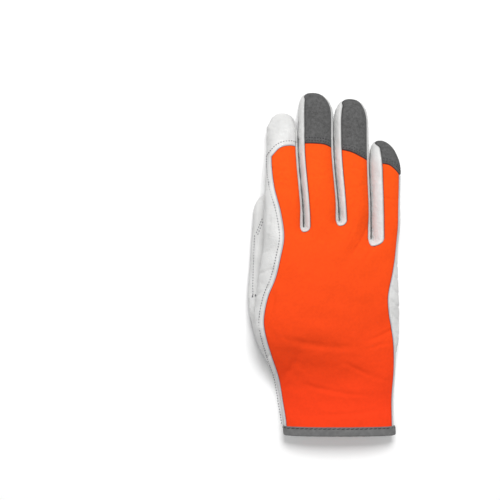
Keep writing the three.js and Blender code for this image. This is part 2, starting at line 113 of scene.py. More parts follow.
# Seams: where the side seams start, and the distances of the rows from their seams.
SEAM_START = 8.0
SEAM_PASSES = 30
SIDE_STITCH_OFFSET = 3.2
CAP_STITCH_OFFSETS = (2.0, 4.0)
THUMB_STITCH_OFFSET = 2.2
STITCH_INSET = 1.5
STITCH_SHARE = 0.58
BINDING_STITCH = {"pitch": 3.3, "length": 3.0, "radius": 0.34, "turn": 0.16}
BINDING_STITCH_LEVEL = 5.75
BINDING_STITCH_SINK = 0.12
PIPING_OFFSET = 0.15
PIPING_SINK = 0.3
PIPING_RADIUS = 0.28
THUMB_LIP_RADIUS = 0.7

# Stitch rows on the thumb: start and end along it, angles round it there.
THUMB_STITCHES = (
    (0.77, 0.44, 2.56, 2.46),
    (0.86, 0.775, 1.99, 2.42),
    (0.86, 0.765, 1.87, 2.3),
    (0.44, 0.43, 2.2, 2.62),
    (0.445, 0.435, 2.2, 2.62),
    (0.97, 0.8, 0.3, 0.5),
    (0.96, 0.79, 0.12, 0.3),
)

# How finely the surfaces are divided, and the distance under which points become one.
WELD = 1e-4
HAND_GRID_ROWS = 150
FINGER_GRID_ROWS = 64
CAP_GRID_ROWS = 44
FINGER_COLUMNS = (32, 26, 24, 20)
WEB_COLUMNS = 8
WEB_ROWS = 25
WRAP_COLUMNS = 18
BINDING_COLUMNS = 220

# The stage: floor, world and the lights' places, shares of the key's power and sizes.
FLOOR_HALF = 6.0
FLOOR_DROP = 0.0003
WORLD_LIGHT = 0.22
LIGHTS = (
    ("key", (0.1, 1.15, 1.75), 1.0, 0.8),
    ("fill", (-0.2, -0.3, 2.3), 0.5, 1.4),
)

FINGERS = (
    {"name": "index", "length": 85.0, "root": 29.0, "tip": 22.4, "lean": 0.0, "dome": 0.2},
    {"name": "middle", "length": 100.0, "root": 26.0, "tip": 26.0, "lean": -0.2, "dome": 0.17},
    {"name": "ring", "length": 95.5, "root": 23.5, "tip": 25.8, "lean": -0.06, "dome": 0.2},
    {"name": "little", "length": 65.0, "root": 21.0, "tip": 23.6, "lean": -0.36, "dome": 0.38},
)
SLOTS = (
    {"name": "index_middle_fourchette", "crotch": 1.5, "right": 4.3},
    {"name": "middle_ring_fourchette", "crotch": 6.2, "right": 5.0},
    {"name": "ring_little_fourchette", "crotch": -6.8, "right": 8.6},
)


def table(names, rows):
    """A table of numbers as one array for each named column."""
    return dict(zip(names.split(), np.array(rows, float).T))


HAND_ROWS = table(
    "along left right thick round",
    [
        (0.0, -0.684, 0.924, 0.68, 2.2),
        (0.053, -0.692, 0.914, 0.68, 2.2),
        (0.16, -0.743, 0.912, 0.72, 2.2),
        (0.233, -0.773, 0.924, 0.78, 2.25),
        (0.293, -0.841, 0.934, 0.84, 2.3),
        (0.353, -0.934, 0.944, 0.88, 2.35),
        (0.407, -1.018, 0.96, 0.9, 2.4),
        (0.473, -1.094, 0.982, 0.93, 2.45),
        (0.567, -1.135, 0.992, 0.97, 2.5),
        (0.647, -1.115, 0.988, 1.0, 2.6),
        (0.767, -1.064, 0.972, 1.0, 2.8),
        (0.86, -1.024, 0.964, 0.965, 3.2),
        (0.93, -1.0, 0.975, 0.92, 3.4),
        (1.0, -1.0, 1.0, 0.885, 3.4),
    ],
)
THUMB_ROWS = table(
    "along centre half top",
    [
        (0.0, -0.63, 0.62, 0.6),
        (0.09, -0.68, 1.0, 1.25),
        (0.2, -0.74, 1.28, 1.7),
        (0.31, -0.78, 1.41, 1.75),
        (0.4, -0.83, 1.36, 1.5),
        (0.47, -0.87, 1.22, 1.2),
        (0.54, -0.89, 1.1, 1.03),
        (0.64, -0.895, 1.02, 1.0),
        (0.76, -0.885, 0.985, 0.98),
        (0.88, -0.88, 0.93, 0.95),
    ],
)
BACK_LEFT = table(
    "along edge",
    [
        (-0.1, -0.66),
        (0.051, -0.665),
        (0.162, -0.715),
        (0.283, -0.779),
        (0.389, -0.881),
        (0.491, -0.97),
        (0.567, -0.998),
        (0.674, -0.94),
        (0.766, -0.83),
        (0.862, -0.76),
        (0.961, -0.707),
        (1.075, -0.751),
        (1.195, -0.845),
        (1.3, -0.885),
        (1.4, -0.885),
    ],
)
BACK_RIGHT = table(
    "along edge",
    [
        (-0.1, 0.89),
        (0.051, 0.89),
        (0.191, 0.89),
        (0.317, 0.915),
        (0.437, 0.905),
        (0.531, 0.865),
        (0.592, 0.829),
        (0.676, 0.815),
        (0.785, 0.88),
        (0.872, 0.925),
        (0.993, 0.96),
        (1.08, 0.97),
        (1.22, 0.985),
        (1.4, 0.985),
    ],
)
CAP_ROWS = (
    table("across along", [(0.0, 0.59), (0.1, 0.61), (0.4, 0.69), (0.75, 0.712), (1.0, 0.7)]),
    table("across along", [(0.0, 0.622), (0.45, 0.62), (0.75, 0.612), (1.0, 0.585)]),
    table("across along", [(0.0, 0.612), (0.45, 0.585), (0.75, 0.548), (1.0, 0.515)]),
    table("across along", [(0.0, 0.735), (0.55, 0.72), (0.8, 0.66), (1.0, 0.58)]),
)
RIB_ROWS = table(
    "along right top",
    [
        (0.02, 0.5, 0.6),
        (0.25, 0.75, 0.62),
        (0.5, 0.72, 0.42),
        (0.7, 0.66, 0.36),
        (0.84, 0.55, 0.34),
    ],
)
LIFT_ALONG = {"start": -0.07, "full": 0.28, "hold": 0.97, "end": 1.38}
LIFT_ACROSS = {"hold": -0.56, "end": 0.8}
THUMB_ROOT_Y = THUMB_REACH - THUMB_SPAN

# Broad dents of the back: place, turn in degrees, half lengths and depth as shares.
FOLDS = table(
    "x along turn long wide depth",
    [
        (0.42, 0.965, 58, 0.402, 0.121, 0.06),
        (0.2, 0.93, 62, 0.322, 0.121, -0.048),
        (0.78, 0.52, 25, 0.322, 0.181, 0.064),
        (-0.55, 0.36, 55, 0.523, 0.201, 0.064),
        (0.1, 0.3, -8, 0.683, 0.241, 0.052),
        (-0.7, 1.2, -8, 0.322, 0.141, 0.048),
    ],
)


def smooth(t):
    """Smoothstep: 3t² - 2t³ between 0 and 1."""
    u = np.clip(t, 0, 1)
    return u * u * (3 - 2 * u)


def column(rows, name, along, by="along"):
    """A column's value at places along a table, on a cubic through its rows."""
    a = rows[by]
    v = rows[name]
    slope = np.empty_like(v)
    slope[1:-1] = (v[2:] - v[:-2]) / (a[2:] - a[:-2])
    slope[0] = (v[1] - v[0]) / (a[1] - a[0])
    slope[-1] = (v[-1] - v[-2]) / (a[-1] - a[-2])
    s = np.clip(along, a[0], a[-1])
    i = np.clip(np.searchsorted(a, s, side="right") - 1, 0, len(a) - 2)
    span = a[i + 1] - a[i]
    t = (s - a[i]) / span
    t2, t3 = t * t, t * t * t
    first = (2 * t3 - 3 * t2 + 1) * v[i] + (t3 - 2 * t2 + t) * span * slope[i]
    return first + (3 * t2 - 2 * t3) * v[i + 1] + (t3 - t2) * span * slope[i + 1]


def hand_place(y):
    """A place along the hand as a share of its length from the cuff."""
    return 1 + y / HAND_LENGTH


def lift(x, y):
    """Rise over the thumb: a smooth ramp along Y times a smooth ramp across X, plus the cuff's."""
    s = (y - THUMB_ROOT_Y) / THUMB_SPAN
    rise = smooth((s - LIFT_ALONG["start"]) / (LIFT_ALONG["full"] - LIFT_ALONG["start"]))
    fall = smooth((s - LIFT_ALONG["hold"]) / (LIFT_ALONG["end"] - LIFT_ALONG["hold"]))
    reach = LIFT_ACROSS["end"] - LIFT_ACROSS["hold"]
    across = smooth((x / KNUCKLE_HALF - LIFT_ACROSS["hold"]) / reach)
    cuff = 1 - smooth((y + HAND_LENGTH) / BINDING_HEIGHT / BINDING_RISE - 1 / BINDING_RISE)
    thumb = (THUMB_THICKNESS + THUMB_CLEARANCE) * rise * (1 - fall) * (1 - across)
    return thumb + (BINDING_THICKNESS + FLOOR_PRESS) * cuff


def dent(x, y):
    """Depth of the back's soft dents: a sum of turned bell shapes."""
    turn = np.radians(FOLDS["turn"])
    dx = x[..., None] - FOLDS["x"] * KNUCKLE_HALF
    dy = y[..., None] - (FOLDS["along"] - 1) * HAND_LENGTH
    u = (dx * np.cos(turn) + dy * np.sin(turn)) / FOLDS["long"] / KNUCKLE_HALF
    v = (dy * np.cos(turn) - dx * np.sin(turn)) / FOLDS["wide"] / KNUCKLE_HALF
    return PALM_THICKNESS * (FOLDS["depth"] * np.exp(-u * u - v * v)).sum(-1)


def thickness(y):
    """Thickness of the hand, thinning smoothly along the fingers."""
    palm = column(HAND_ROWS, "thick", hand_place(y))
    middle = FINGERS[1]["length"]
    return PALM_THICKNESS * (palm - FINGER_THINNING * smooth(0.9 * y / middle))


def slit_x(k, y):
    """X of the slit before finger k, eased from its root place to its tip place."""
    t = smooth(1.6 * y / FINGERS[1]["length"])
    root = -KNUCKLE_HALF + sum(f["root"] for f in FINGERS[:k])
    tip = -KNUCKLE_HALF + INDEX_TAPER + sum(f["tip"] for f in FINGERS[:k])
    return root + (tip - root) * t


def hand_edge(side, y):
    """X of the outline on the thumb side (-1) or the little finger side (1)."""
    name, slit = ("left", 0) if side < 0 else ("right", 4)
    edge = KNUCKLE_HALF * column(HAND_ROWS, name, hand_place(y))
    return np.where(y < 0, edge, slit_x(slit, y))


def bulge(share, power):
    """Height share of a rounded oblong at a distance share from its edge: (1-(1-d)^n)^(1/n)."""
    inside = np.clip(1 - share, 0, 1)
    return np.clip(1 - inside**power, 0, 1) ** (1 / power)


def dome_share(k, y):
    """How far a place lies into a fingertip's dome, from 0 to 1."""
    f = FINGERS[k]
    start = f["length"] * (1 - f["dome"])
    return np.clip((y - start) / (f["length"] - start), 0, 1)


def finger_middle(k, y):
    """Centre, half width and dome factor of a finger at a place along it."""
    f = FINGERS[k]
    u = dome_share(k, y)
    flat = np.minimum(y, f["length"] * (1 - f["dome"]))
    left = slit_x(k, flat) + FINGER_GAP / 2 if k > 0 else hand_edge(-1, flat)
    right = slit_x(k + 1, flat) - FINGER_GAP / 2 if k < 3 else hand_edge(1, flat)
    half = (right - left) / 2
    round_ = np.clip(1 - u**DOME_POWER, 0, 1) ** (1 / DOME_POWER)
    return (left + right) / 2 + f["lean"] * u * u * half, half, round_


def hand_bulge(x, y):
    """Height share over the hand: the outline's bulge times one round each slit's end."""
    left, right = hand_edge(-1, y), hand_edge(1, y)
    power = column(HAND_ROWS, "round", hand_place(y))
    half = (right - left) / 2
    tip = smooth((y + KNUCKLE_EASE) / KNUCKLE_EASE)
    reach = half * (1 - tip) + SLIT_REACH * tip
    power = power * (1 - tip) + KNUCKLE_POWER * tip
    share = bulge(np.clip((x - left) / reach, 0, 1), power)
    share = share * bulge(np.clip((right - x) / reach, 0, 1), power)
    for k, slot in enumerate(SLOTS):
        dx = x - slit_x(k + 1, y)
        dy = np.minimum(y - slot["crotch"], 0)
        away = np.clip(np.hypot(dx, dy) - FINGER_GAP / 2, 0, None)
        share = share * bulge(away / SLIT_REACH, ROUNDNESS)
    return share


def finger_bulge(k, x, y):
    """Height share over a finger: a rounded oblong shrunk by the tip's dome."""
    centre, half, round_ = finger_middle(k, y)
    power = ROUNDNESS + (ROOT_ROUNDNESS - ROUNDNESS) * (1 - smooth(2.5 * y / FINGERS[k]["length"]))
    across = np.abs(x - centre) / np.maximum(half * round_, 1e-4)
    return np.clip(1 - np.clip(across, 0, 1) ** power, 0, 1) ** (1 / power) * round_


def shell(x, y, side, k=None):
    """Height of the glove's surface above the table, on its back (1) or palm (-1)."""
    share = hand_bulge(x, y)
    drop = 0.0
    if k is not None:
        begin = max(slot["crotch"] for slot in SLOTS[max(k - 1, 0) : k + 1])
        t = smooth((y - begin) / ROOT_EASE)
        share = (1 - t) * share + t * finger_bulge(k, x, y)
        drop = TIP_DROP * (1 - finger_middle(k, y)[2])
    high = thickness(y)
    tall = (high + FLOOR_PRESS) / 2
    z = high - tall - tall * drop + side * tall * share
    dents = dent(x, y) * smooth(share) if side > 0 else 0.0
    return np.maximum(z + lift(x, y) - dents, 0)


def cuff_offset():
    """Where the knuckle line's middle lies in the frame, in metres, from the cuff's box."""
    low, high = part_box("cuff_binding")
    cuff_middle = KNUCKLE_HALF * (HAND_ROWS["left"][0] + HAND_ROWS["right"][0]) / 2
    across = (low.x + high.x) / 2 - cuff_middle * METRES
    return np.array([across, low.y + HAND_LENGTH * METRES, 0.0])


def points_of(x, y, z):
    """Three arrays of coordinates as one array of points, in millimetres."""
    return np.stack(np.broadcast_arrays(x, y, z), -1)


def slot_left(k, y):
    """How far the side leather of a slot reaches to the thumb's side, in millimetres."""
    along = (y - SLOTS[k]["crotch"] - 2) / ROOT_EASE
    return SLOT_LEFT + SLOT_LEFT_GROWTH * (1 - smooth(along))


def slot_right(k, y):
    """How far the side leather of a slot reaches to the little finger's side, in millimetres."""
    slot = SLOTS[k]
    return SLOT_LEFT + (slot["right"] - SLOT_LEFT) * smooth((y - slot["crotch"] + 8) / 7)


def slot_share(k, side, y, top):
    """How far the side leather reaches over a finger's edge, as a share of its half width."""
    slit = k - 1 if side < 0 else k
    if slit < 0 or slit > 2:
        return np.zeros_like(y)
    wide = SLOT_UNDER * np.ones_like(y)
    if top:
        wide = slot_right(slit, y) if side < 0 else slot_left(slit, y)
    fade = 1 - smooth((y - FINGERS[k]["length"] + 6) / 5.5)
    half = finger_middle(k, y)[1]
    return (wide - FINGER_GAP / 2) / half * fade


def cloth_edge(side, y):
    """X of the cloth's edge on the thumb side (-1) or the little finger side (1)."""
    return KNUCKLE_HALF * column(BACK_LEFT if side < 0 else BACK_RIGHT, "edge", hand_place(y))


def across_limits(k, y, kind):
    """Ends of a panel across a finger, from -1 to 1 over its width.

    The kind is cloth, cap or palm. Cloth ends at the glove's own side seams, a cap and
    the palm reach the outline there, and all three end where the side leather begins.
    """
    top = kind != "palm"
    left = -1 + slot_share(k, -1, y, top)
    right = 1 - slot_share(k, 1, y, top)
    centre, half, _ = finger_middle(k, y)
    if kind == "cloth" and k == 0:
        left = (cloth_edge(-1, y) - centre) / half
    if kind == "cloth" and k == 3:
        right = (cloth_edge(1, y) - centre) / half
    return left, right


def finger_points(k, across, y, side):
    """Points on a finger: across from -1 to 1, along y, on its back (1) or its front (-1)."""
    centre, half, round_ = finger_middle(k, y)
    x = centre + half * round_ * across
    return points_of(x, y, shell(x, y, side, k))


def crotch_ends(k):
    """Where the two sides of a finger part from the hand: y at its left and right edge."""
    left = SLOTS[max(k - 1, 0)]["crotch"]
    right = SLOTS[min(k, 2)]["crotch"]
    return left, right


def cap_line(k, across_x, y0):
    """Y of the front seam of the cloth on a finger at places x, found in three passes."""
    y = y0
    for _ in range(3):
        left, right = slit_x(k, y), slit_x(k + 1, y)
        share = (across_x(y) - left) / (right - left)
        y = FINGERS[k]["length"] * column(CAP_ROWS[k], "along", share, "across")
    return y


def cap_seam(k, share):
    """Y of the front seam at shares 0 to 1 between the cloth's limits on a finger."""

    def x_at(y):
        left, right = across_limits(k, y, "cloth")
        centre, half, round_ = finger_middle(k, y)
        return centre + half * round_ * (left + (right - left) * share)

    return cap_line(k, x_at, CAP_GUESS * FINGERS[k]["length"] * np.ones_like(share))


def eased(count, start, end):
    """Shares 0 to 1 that crowd at the start, the end or both, by sines."""
    t = np.linspace(0, 1, count)
    if start and end:
        return (1 - np.cos(math.pi * t)) / 2
    if start:
        return 1 - np.cos(math.pi * t / 2)
    if end:
        return np.sin(math.pi * t / 2)
    return t


def web_size(k, kind, angle):
    """Half widths and depth of a slot's rounded end at angles round it from its left."""
    if kind == "palm":
        return SLOT_UNDER, SLOT_UNDER_END
    crotch = np.array(SLOTS[k]["crotch"])
    left, right = slot_left(k, crotch), slot_right(k, crotch)
    return np.where(angle < math.pi / 2, left, right), SLOT_END + 0.4 * (right - SLOT_LEFT)


def web_curve(k, kind, count):
    """The rounded end of a slot: half an ellipse below the crotch, from left to right."""
    angle = np.linspace(0, math.pi, count)
    wide, deep = web_size(k, kind, angle)
    y = SLOTS[k]["crotch"] - deep * np.sin(angle)
    return slit_x(k + 1, y) - wide * np.cos(angle), y


def hand_columns(kind):
    """X and y where each column of a hand panel ends at the knuckles, and each finger's part."""
    xs, ys, shares = [], [], []
    for k in range(4):
        share = eased(FINGER_COLUMNS[k], kind == "palm" and k == 0, kind == "palm" and k == 3)
        begin, end = crotch_ends(k)
        y = begin + (end - begin) * share
        left, right = across_limits(k, y, kind)
        centre, half, _ = finger_middle(k, y)
        xs.append(centre + half * (left + (right - left) * share))
        ys.append(y)
        shares.append(share)
        if k < 3:
            x, y = web_curve(k, kind, WEB_COLUMNS)
            xs.append(x[1:-1])
            ys.append(y[1:-1])
    return np.concatenate(xs), np.concatenate(ys), shares


def hand_grid(kind):
    """The hand's part of a panel: each column keeps its share of the width down to the cuff."""
    xt, yt, _ = hand_columns(kind)
    side = 1 if kind == "cloth" else -1
    edge = cloth_edge if kind == "cloth" else hand_edge
    left, right = edge(-1, yt), edge(1, yt)
    share = (xt - left) / (right - left)
    v = np.linspace(0, 1, HAND_GRID_ROWS)[:, None]
    y = CUFF_Y + (yt[None] - CUFF_Y) * v
    x = edge(-1, y) + (edge(1, y) - edge(-1, y)) * share[None]
    return points_of(x, y, shell(x, y, side))


def finger_grid(k, kind, shares, seam):
    """A finger's part of a panel, from its root to a seam across it or to the tip."""
    begin, end = crotch_ends(k)
    root = begin + (end - begin) * shares
    finish = cap_seam(k, shares) if seam else FINGERS[k]["length"] * np.ones_like(shares)
    v = np.linspace(0, 1, FINGER_GRID_ROWS)[:, None]
    v = v if seam else 1 - (1 - v) ** 1.6
    y = root[None] + (finish - root)[None] * v
    left, right = across_limits(k, y, kind)
    return finger_points(k, left + (right - left) * shares[None], y, 1 if kind == "cloth" else -1)


def cap_grid(k, columns):
    """The top of a fingertip, from the cloth's front seam and the side wrap's end to the pole."""
    share = np.linspace(0, 1, columns)
    begin = cap_seam(k, share)
    cloth_left, cloth_right = across_limits(k, begin, "cloth")
    inner = cloth_left + (cloth_right - cloth_left) * share
    q = np.linspace(0, 1, WRAP_COLUMNS)[:-1]
    if k == 0:
        inner = np.concatenate([-1 + (inner[0] + 1) * q**2, inner])
        begin = np.concatenate([np.full(q.size, begin[0]), begin])
    if k == 3:
        inner = np.concatenate([inner, 1 + (inner[-1] - 1) * q[::-1] ** 2])
        begin = np.concatenate([begin, np.full(q.size, begin[-1])])
    v = 1 - (1 - np.linspace(0, 1, CAP_GRID_ROWS)[:, None]) ** 1.7
    y = begin[None] + (FINGERS[k]["length"] - begin)[None] * v
    left, right = across_limits(k, y, "cap")
    outer = left + (right - left) * eased(inner.size, True, True)[None]
    start_left, start_right = across_limits(k, begin, "cap")
    seat = (inner - start_left) / (start_right - start_left)
    held = left + (right - left) * seat[None]
    return finger_points(k, held + (outer - held) * smooth(v * 2), y, 1)


def side_wrap(side, finger_rows):
    """Leather from the cloth's side seam round the outline, over the hand or along a finger."""
    k = 0 if side < 0 else 3
    crotch = SLOTS[0 if side < 0 else 2]["crotch"]
    q = np.linspace(1, 0, WRAP_COLUMNS)[None]
    if not finger_rows:
        y = (CUFF_Y + (crotch - CUFF_Y) * np.linspace(0, 1, HAND_GRID_ROWS))[:, None]
        edge, seam = hand_edge(side, y), cloth_edge(side, y)
        x = edge + (seam - edge) * q**2
        return points_of(x, y, shell(x, y, 1))
    end = cap_seam(k, np.array([0.0 if side < 0 else 1.0]))[0]
    y = (crotch + (end - crotch) * np.linspace(0, 1, FINGER_GRID_ROWS))[:, None]
    left, right = across_limits(k, y, "cloth")
    seam = left if side < 0 else right
    return finger_points(k, side + (seam - side) * q**2, y, 1)


def web_grid(k):
    """Side leather of a slot: down one finger's side, round the crotch and up the other's.

    Across the strip, q runs from the cloth's edge (1) over the wall of the slit (0) to the
    palm's edge (-1), and the distance from the wall grows with the square of q.
    """
    q = np.linspace(1, -1, WEB_ROWS)[None]
    top = q >= 0
    parts = []
    for finger, side in ((k, 1), (k + 1, -1)):
        end = FINGERS[finger]["length"] - 0.5
        crotch = SLOTS[k]["crotch"]
        y = (crotch + (end - crotch) * np.linspace(1, 0, FINGER_GRID_ROWS))[:, None]
        y = y * np.ones_like(q)
        reach = np.where(
            top, slot_share(finger, side, y, True), slot_share(finger, side, y, False)
        )
        across = side * (1 - reach * q * q)
        above = finger_points(finger, across, y, 1)
        under = finger_points(finger, across, y, -1)
        part = np.where(top[..., None], above, under)
        parts.append(part if side > 0 else part[::-1])
    angle = np.linspace(0, math.pi, 2 * WEB_COLUMNS)[:, None]
    above = web_size(k, "cloth", angle)
    under = web_size(k, "palm", angle)
    wide, deep = np.where(top, above[0], under[0]), np.where(top, above[1], under[1])
    inner = FINGER_GAP / 2
    rx = inner + (wide - inner) * q * q
    ry = inner + (deep - inner) * q * q
    y = SLOTS[k]["crotch"] - ry * np.sin(angle)
    x = slit_x(k + 1, y) - rx * np.cos(angle)
    z = np.where(top, shell(x, y, 1), shell(x, y, -1))
    turn = points_of(x, y, z)
    return np.concatenate([parts[0], turn[1:-1], parts[1]])


def thumb_points(s, angle):
    """Points round the thumb: s from root (0) to tip (1), angle from its little finger side."""
    flat = np.minimum(s, 1 - THUMB_DOME)
    u = np.clip((s - 1 + THUMB_DOME) / THUMB_DOME, 0, 1)
    round_ = np.clip(1 - u**DOME_POWER, 0, 1) ** (1 / DOME_POWER)
    half = THUMB_WIDTH / 2 * column(THUMB_ROWS, "half", flat)
    centre = KNUCKLE_HALF * column(THUMB_ROWS, "centre", flat) + THUMB_LEAN * u * u * half
    high = THUMB_THICKNESS * column(THUMB_ROWS, "top", flat)
    tall = (high + FLOOR_PRESS) / 2
    c, d = np.cos(angle), np.sin(angle)
    x = centre + half * round_ * np.sign(c) * np.abs(c) ** (2 / ROUNDNESS)
    middle = high - tall - (1 - round_) * tall * THUMB_TIP_DROP
    z = middle + tall * round_ * np.sign(d) * np.abs(d) ** (2 / ROUNDNESS)
    return points_of(x, THUMB_ROOT_Y + s * THUMB_SPAN, np.maximum(z, 0))


def rib_start(s):
    """Angle round the thumb where the ribbed panel starts: the arcsine of its edge's height."""
    high = THUMB_THICKNESS * column(THUMB_ROWS, "top", np.minimum(s, 1 - THUMB_DOME))
    tall = (high + FLOOR_PRESS) / 2
    up = np.clip((THUMB_THICKNESS * column(RIB_ROWS, "top", s) - high + tall) / tall, -0.95, 0.95)
    return math.pi - np.arcsin(np.sign(up) * np.abs(up) ** (ROUNDNESS / 2))


def rib_end(s):
    """Angle round the thumb where the ribbed panel ends: the arccosine of its edge's place."""
    half = THUMB_WIDTH / 2 * column(THUMB_ROWS, "half", np.minimum(s, 1 - THUMB_DOME))
    out = np.clip(column(RIB_ROWS, "right", s) * THUMB_WIDTH / 2 / half, 0, 0.96)
    return 2 * math.pi - np.arccos(out ** (ROUNDNESS / 2))


def cuff_ring(y, angle, grow):
    """Points round the hand's section at y, grown outwards, resting on the table."""
    place = hand_place(y)
    left = KNUCKLE_HALF * column(HAND_ROWS, "left", place)
    right = KNUCKLE_HALF * column(HAND_ROWS, "right", place)
    high = PALM_THICKNESS * column(HAND_ROWS, "thick", place)
    power = column(HAND_ROWS, "round", place)
    c, d = np.cos(angle), np.sin(angle)
    x = (left + right) / 2 + ((right - left) / 2 + grow) * np.sign(c) * np.abs(c) ** (2 / power)
    tall = (high + FLOOR_PRESS) / 2
    z = high - tall + (tall + grow) * np.sign(d) * np.abs(d) ** (2 / power)
    raised = z + lift(x, y) - dent(x, y) * smooth((z - high + tall) / tall)
    return points_of(x, y, np.maximum(raised, 0))


def weld(grids):
    """Joins grids of points: equal points become one, quads that close up become triangles."""
    points, faces, start = [], [], 0
    for grid, flipped in grids:
        rows, cols = grid.shape[:2]
        index = start + np.arange(rows * cols).reshape(rows, cols)
        quad = np.stack([index[:-1, :-1], index[:-1, 1:], index[1:, 1:], index[1:, :-1]], -1)
        quad = quad.reshape(-1, 4)
        faces.append(quad[:, ::-1] if flipped else quad)
        points.append(grid.reshape(-1, 3))
        start += rows * cols
    points = np.concatenate(points)
    keys = np.round(points / WELD).astype(np.int64)
    _, first, inverse = np.unique(keys, axis=0, return_index=True, return_inverse=True)
    faces = inverse.reshape(-1)[np.concatenate(faces)]
    shut = faces == np.roll(faces, -1, axis=1)
    crossed = (faces[:, 0] == faces[:, 2]) | (faces[:, 1] == faces[:, 3])
    quads = faces[(shut.sum(1) == 0) & ~crossed]
    thin = (shut.sum(1) == 1) & ~crossed
    turn = (shut[thin].argmax(1)[:, None] + np.arange(1, 4)) % 4
    return points[first], quads, np.take_along_axis(faces[thin], turn, 1)


def vertex_normals(points, quads, tris):
    """Unit normals at the vertices: the sum of the faces' own around each."""
    total = np.zeros_like(points)
    crossed = np.cross(
        points[quads[:, 2]] - points[quads[:, 0]], points[quads[:, 3]] - points[quads[:, 1]]
    )
    for i in range(4):
        np.add.at(total, quads[:, i], crossed)
    if len(tris):
        flat = np.cross(
            points[tris[:, 1]] - points[tris[:, 0]], points[tris[:, 2]] - points[tris[:, 0]]
        )
        for i in range(3):
            np.add.at(total, tris[:, i], flat)
    size = np.linalg.norm(total, axis=1, keepdims=True)
    return total / np.maximum(size, 1e-12)


def rim_distance(points, quads, tris):
    """Distance in millimetres from each vertex to the nearest open edge of its mesh."""
    pairs = [quads[:, [i, (i + 1) % 4]] for i in range(4)]
    pairs += [tris[:, [i, (i + 1) % 3]] for i in range(3)]
    edges = np.sort(np.concatenate(pairs), axis=1)
    edges, counts = np.unique(edges, axis=0, return_counts=True)
    rim = np.unique(edges[counts == 1])
    if not len(rim):
        return np.full(len(points), 99.0)
    rim_points = points[rim].astype(np.float32)
    result = np.empty(len(points))
    for start in range(0, len(points), 4000):
        block = points[start : start + 4000].astype(np.float32)
        square = (block**2).sum(1)[:, None] + (rim_points**2).sum(1)[None]
        square = square - 2 * block @ rim_points.T
        result[start : start + 4000] = np.sqrt(np.maximum(square.min(1), 0))
    return result


def make_object(name, points, quads, tris, material, rim=None):
    """A smooth shaded mesh object at the origin from points in millimetres."""
    mesh = bpy.data.meshes.new(name)
    place = points * METRES + cuff_offset()
    place[:, 2] = np.maximum(place[:, 2], 0.0)
    mesh.from_pydata(place.tolist(), [], quads.tolist() + tris.tolist())
    mesh.polygons.foreach_set("use_smooth", np.ones(len(mesh.polygons), bool))
    if rim is not None:
        mesh.attributes.new("rim", "FLOAT", "POINT").data.foreach_set("value", rim)
    mesh.materials.append(material)
    mesh.update()
    made = bpy.data.objects.new(name, mesh)
    bpy.context.scene.collection.objects.link(made)
    return made


def dress(name, node, slot, grids, material, relief, wall=WALL):
    """Makes one piece in place of its node: welded grids, relief along the normals, a wall."""
    points, quads, tris = weld(grids)
    normal = vertex_normals(points, quads, tris)
    rim = rim_distance(points, quads, tris)
    points = points + normal * relief(points, rim)[:, None]
    piece = make_object(name, points, quads, tris, material, rim)
    if wall:
        solid = piece.modifiers.new("wall", "SOLIDIFY")
        solid.thickness = wall * METRES
        solid.offset = -1.0
    finish_piece(piece, slot, node)
    return piece


def finish_piece(piece, slot, *nodes):
    """Fixes a piece to the glove's body, in place of its nodes. The slot is not used."""
    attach(piece, "root")
    if nodes:
        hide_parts(*nodes)


def waves(points, seed, size, count=24):
    """Soft unevenness from -1 to 1: a sum of sines in directions from a seeded draw."""
    rng = np.random.default_rng(seed)
    way = rng.normal(size=(3, count))
    way = way / np.linalg.norm(way, axis=0)
    rate = 2 * math.pi / (size * rng.uniform(0.7, 1.6, count))
    phase = rng.uniform(0, 2 * math.pi, count)
    return np.sin(points @ (way * rate) + phase).sum(1) / math.sqrt(count / 2) / 2


def creases(points, rows, side):
    """Sharp folds from a table: a narrow valley with a low swell on each side of it."""
    high = lift(points[:, 0], points[:, 1]) + thickness(points[:, 1]) / 2
    here = np.where((points[:, 2] - high) * side > -1.5, 1.0, 0.0)
    dx = points[:, :1] - rows["x"]
    dy = points[:, 1:2] - rows["y"]
    turn = np.radians(rows["turn"])
    u = (dx * np.cos(turn) + dy * np.sin(turn)) / rows["long"]
    v = (dy * np.cos(turn) - dx * np.sin(turn) - rows["bend"] * u * u) / rows["wide"]
    shape = (1 - 0.9 * v * v) * np.exp(-0.9 * v * v - u**4)
    return -here * (rows["depth"] * shape).sum(1)


def seam_fall(rim, depth, width):
    """How far a panel's edge turns down into its seam."""
    return -depth * (1 - smooth(rim / width)) ** 1.5


# Sharp folds of the cloth and the leather on the back, in millimetres and degrees.
CLOTH_CREASES = table(
    "x y turn long wide bend depth",
    [
        (22, -6, 62, 13, 1.6, 1.5, 0.35),
        (29, -14, 50, 10, 1.5, -1.0, 0.3),
        (14, -2, 68, 9, 1.4, 1.0, 0.22),
        (37, -76, 25, 11, 1.8, 1.0, 0.35),
        (33, -84, 15, 9, 1.5, -0.8, 0.25),
        (-38, 42, -12, 8, 1.4, 0.8, 0.35),
        (-36, 35, -6, 7, 1.4, 0.6, 0.22),
        (-10, 50, -10, 8, 1.5, 0.6, 0.3),
        (-9, 38, 12, 8, 1.4, 0.6, 0.2),
        (16, 44, -8, 8, 1.5, -0.6, 0.28),
        (18, 30, 14, 8, 1.4, 0.6, 0.2),
        (39, 22, -10, 7, 1.4, 0.5, 0.25),
        (-28, -98, 58, 18, 3.2, 2.0, 0.3),
        (-8, -84, -6, 26, 3.4, 2.5, 0.4),
        (4, -118, -10, 22, 2.2, 1.5, 0.3),
        (24, -104, -24, 16, 2.0, 1.0, 0.3),
        (12, -134, 4, 20, 2.0, 1.0, 0.25),
        (-44, -58, 74, 12, 1.8, 1.0, 0.3),
    ],
)
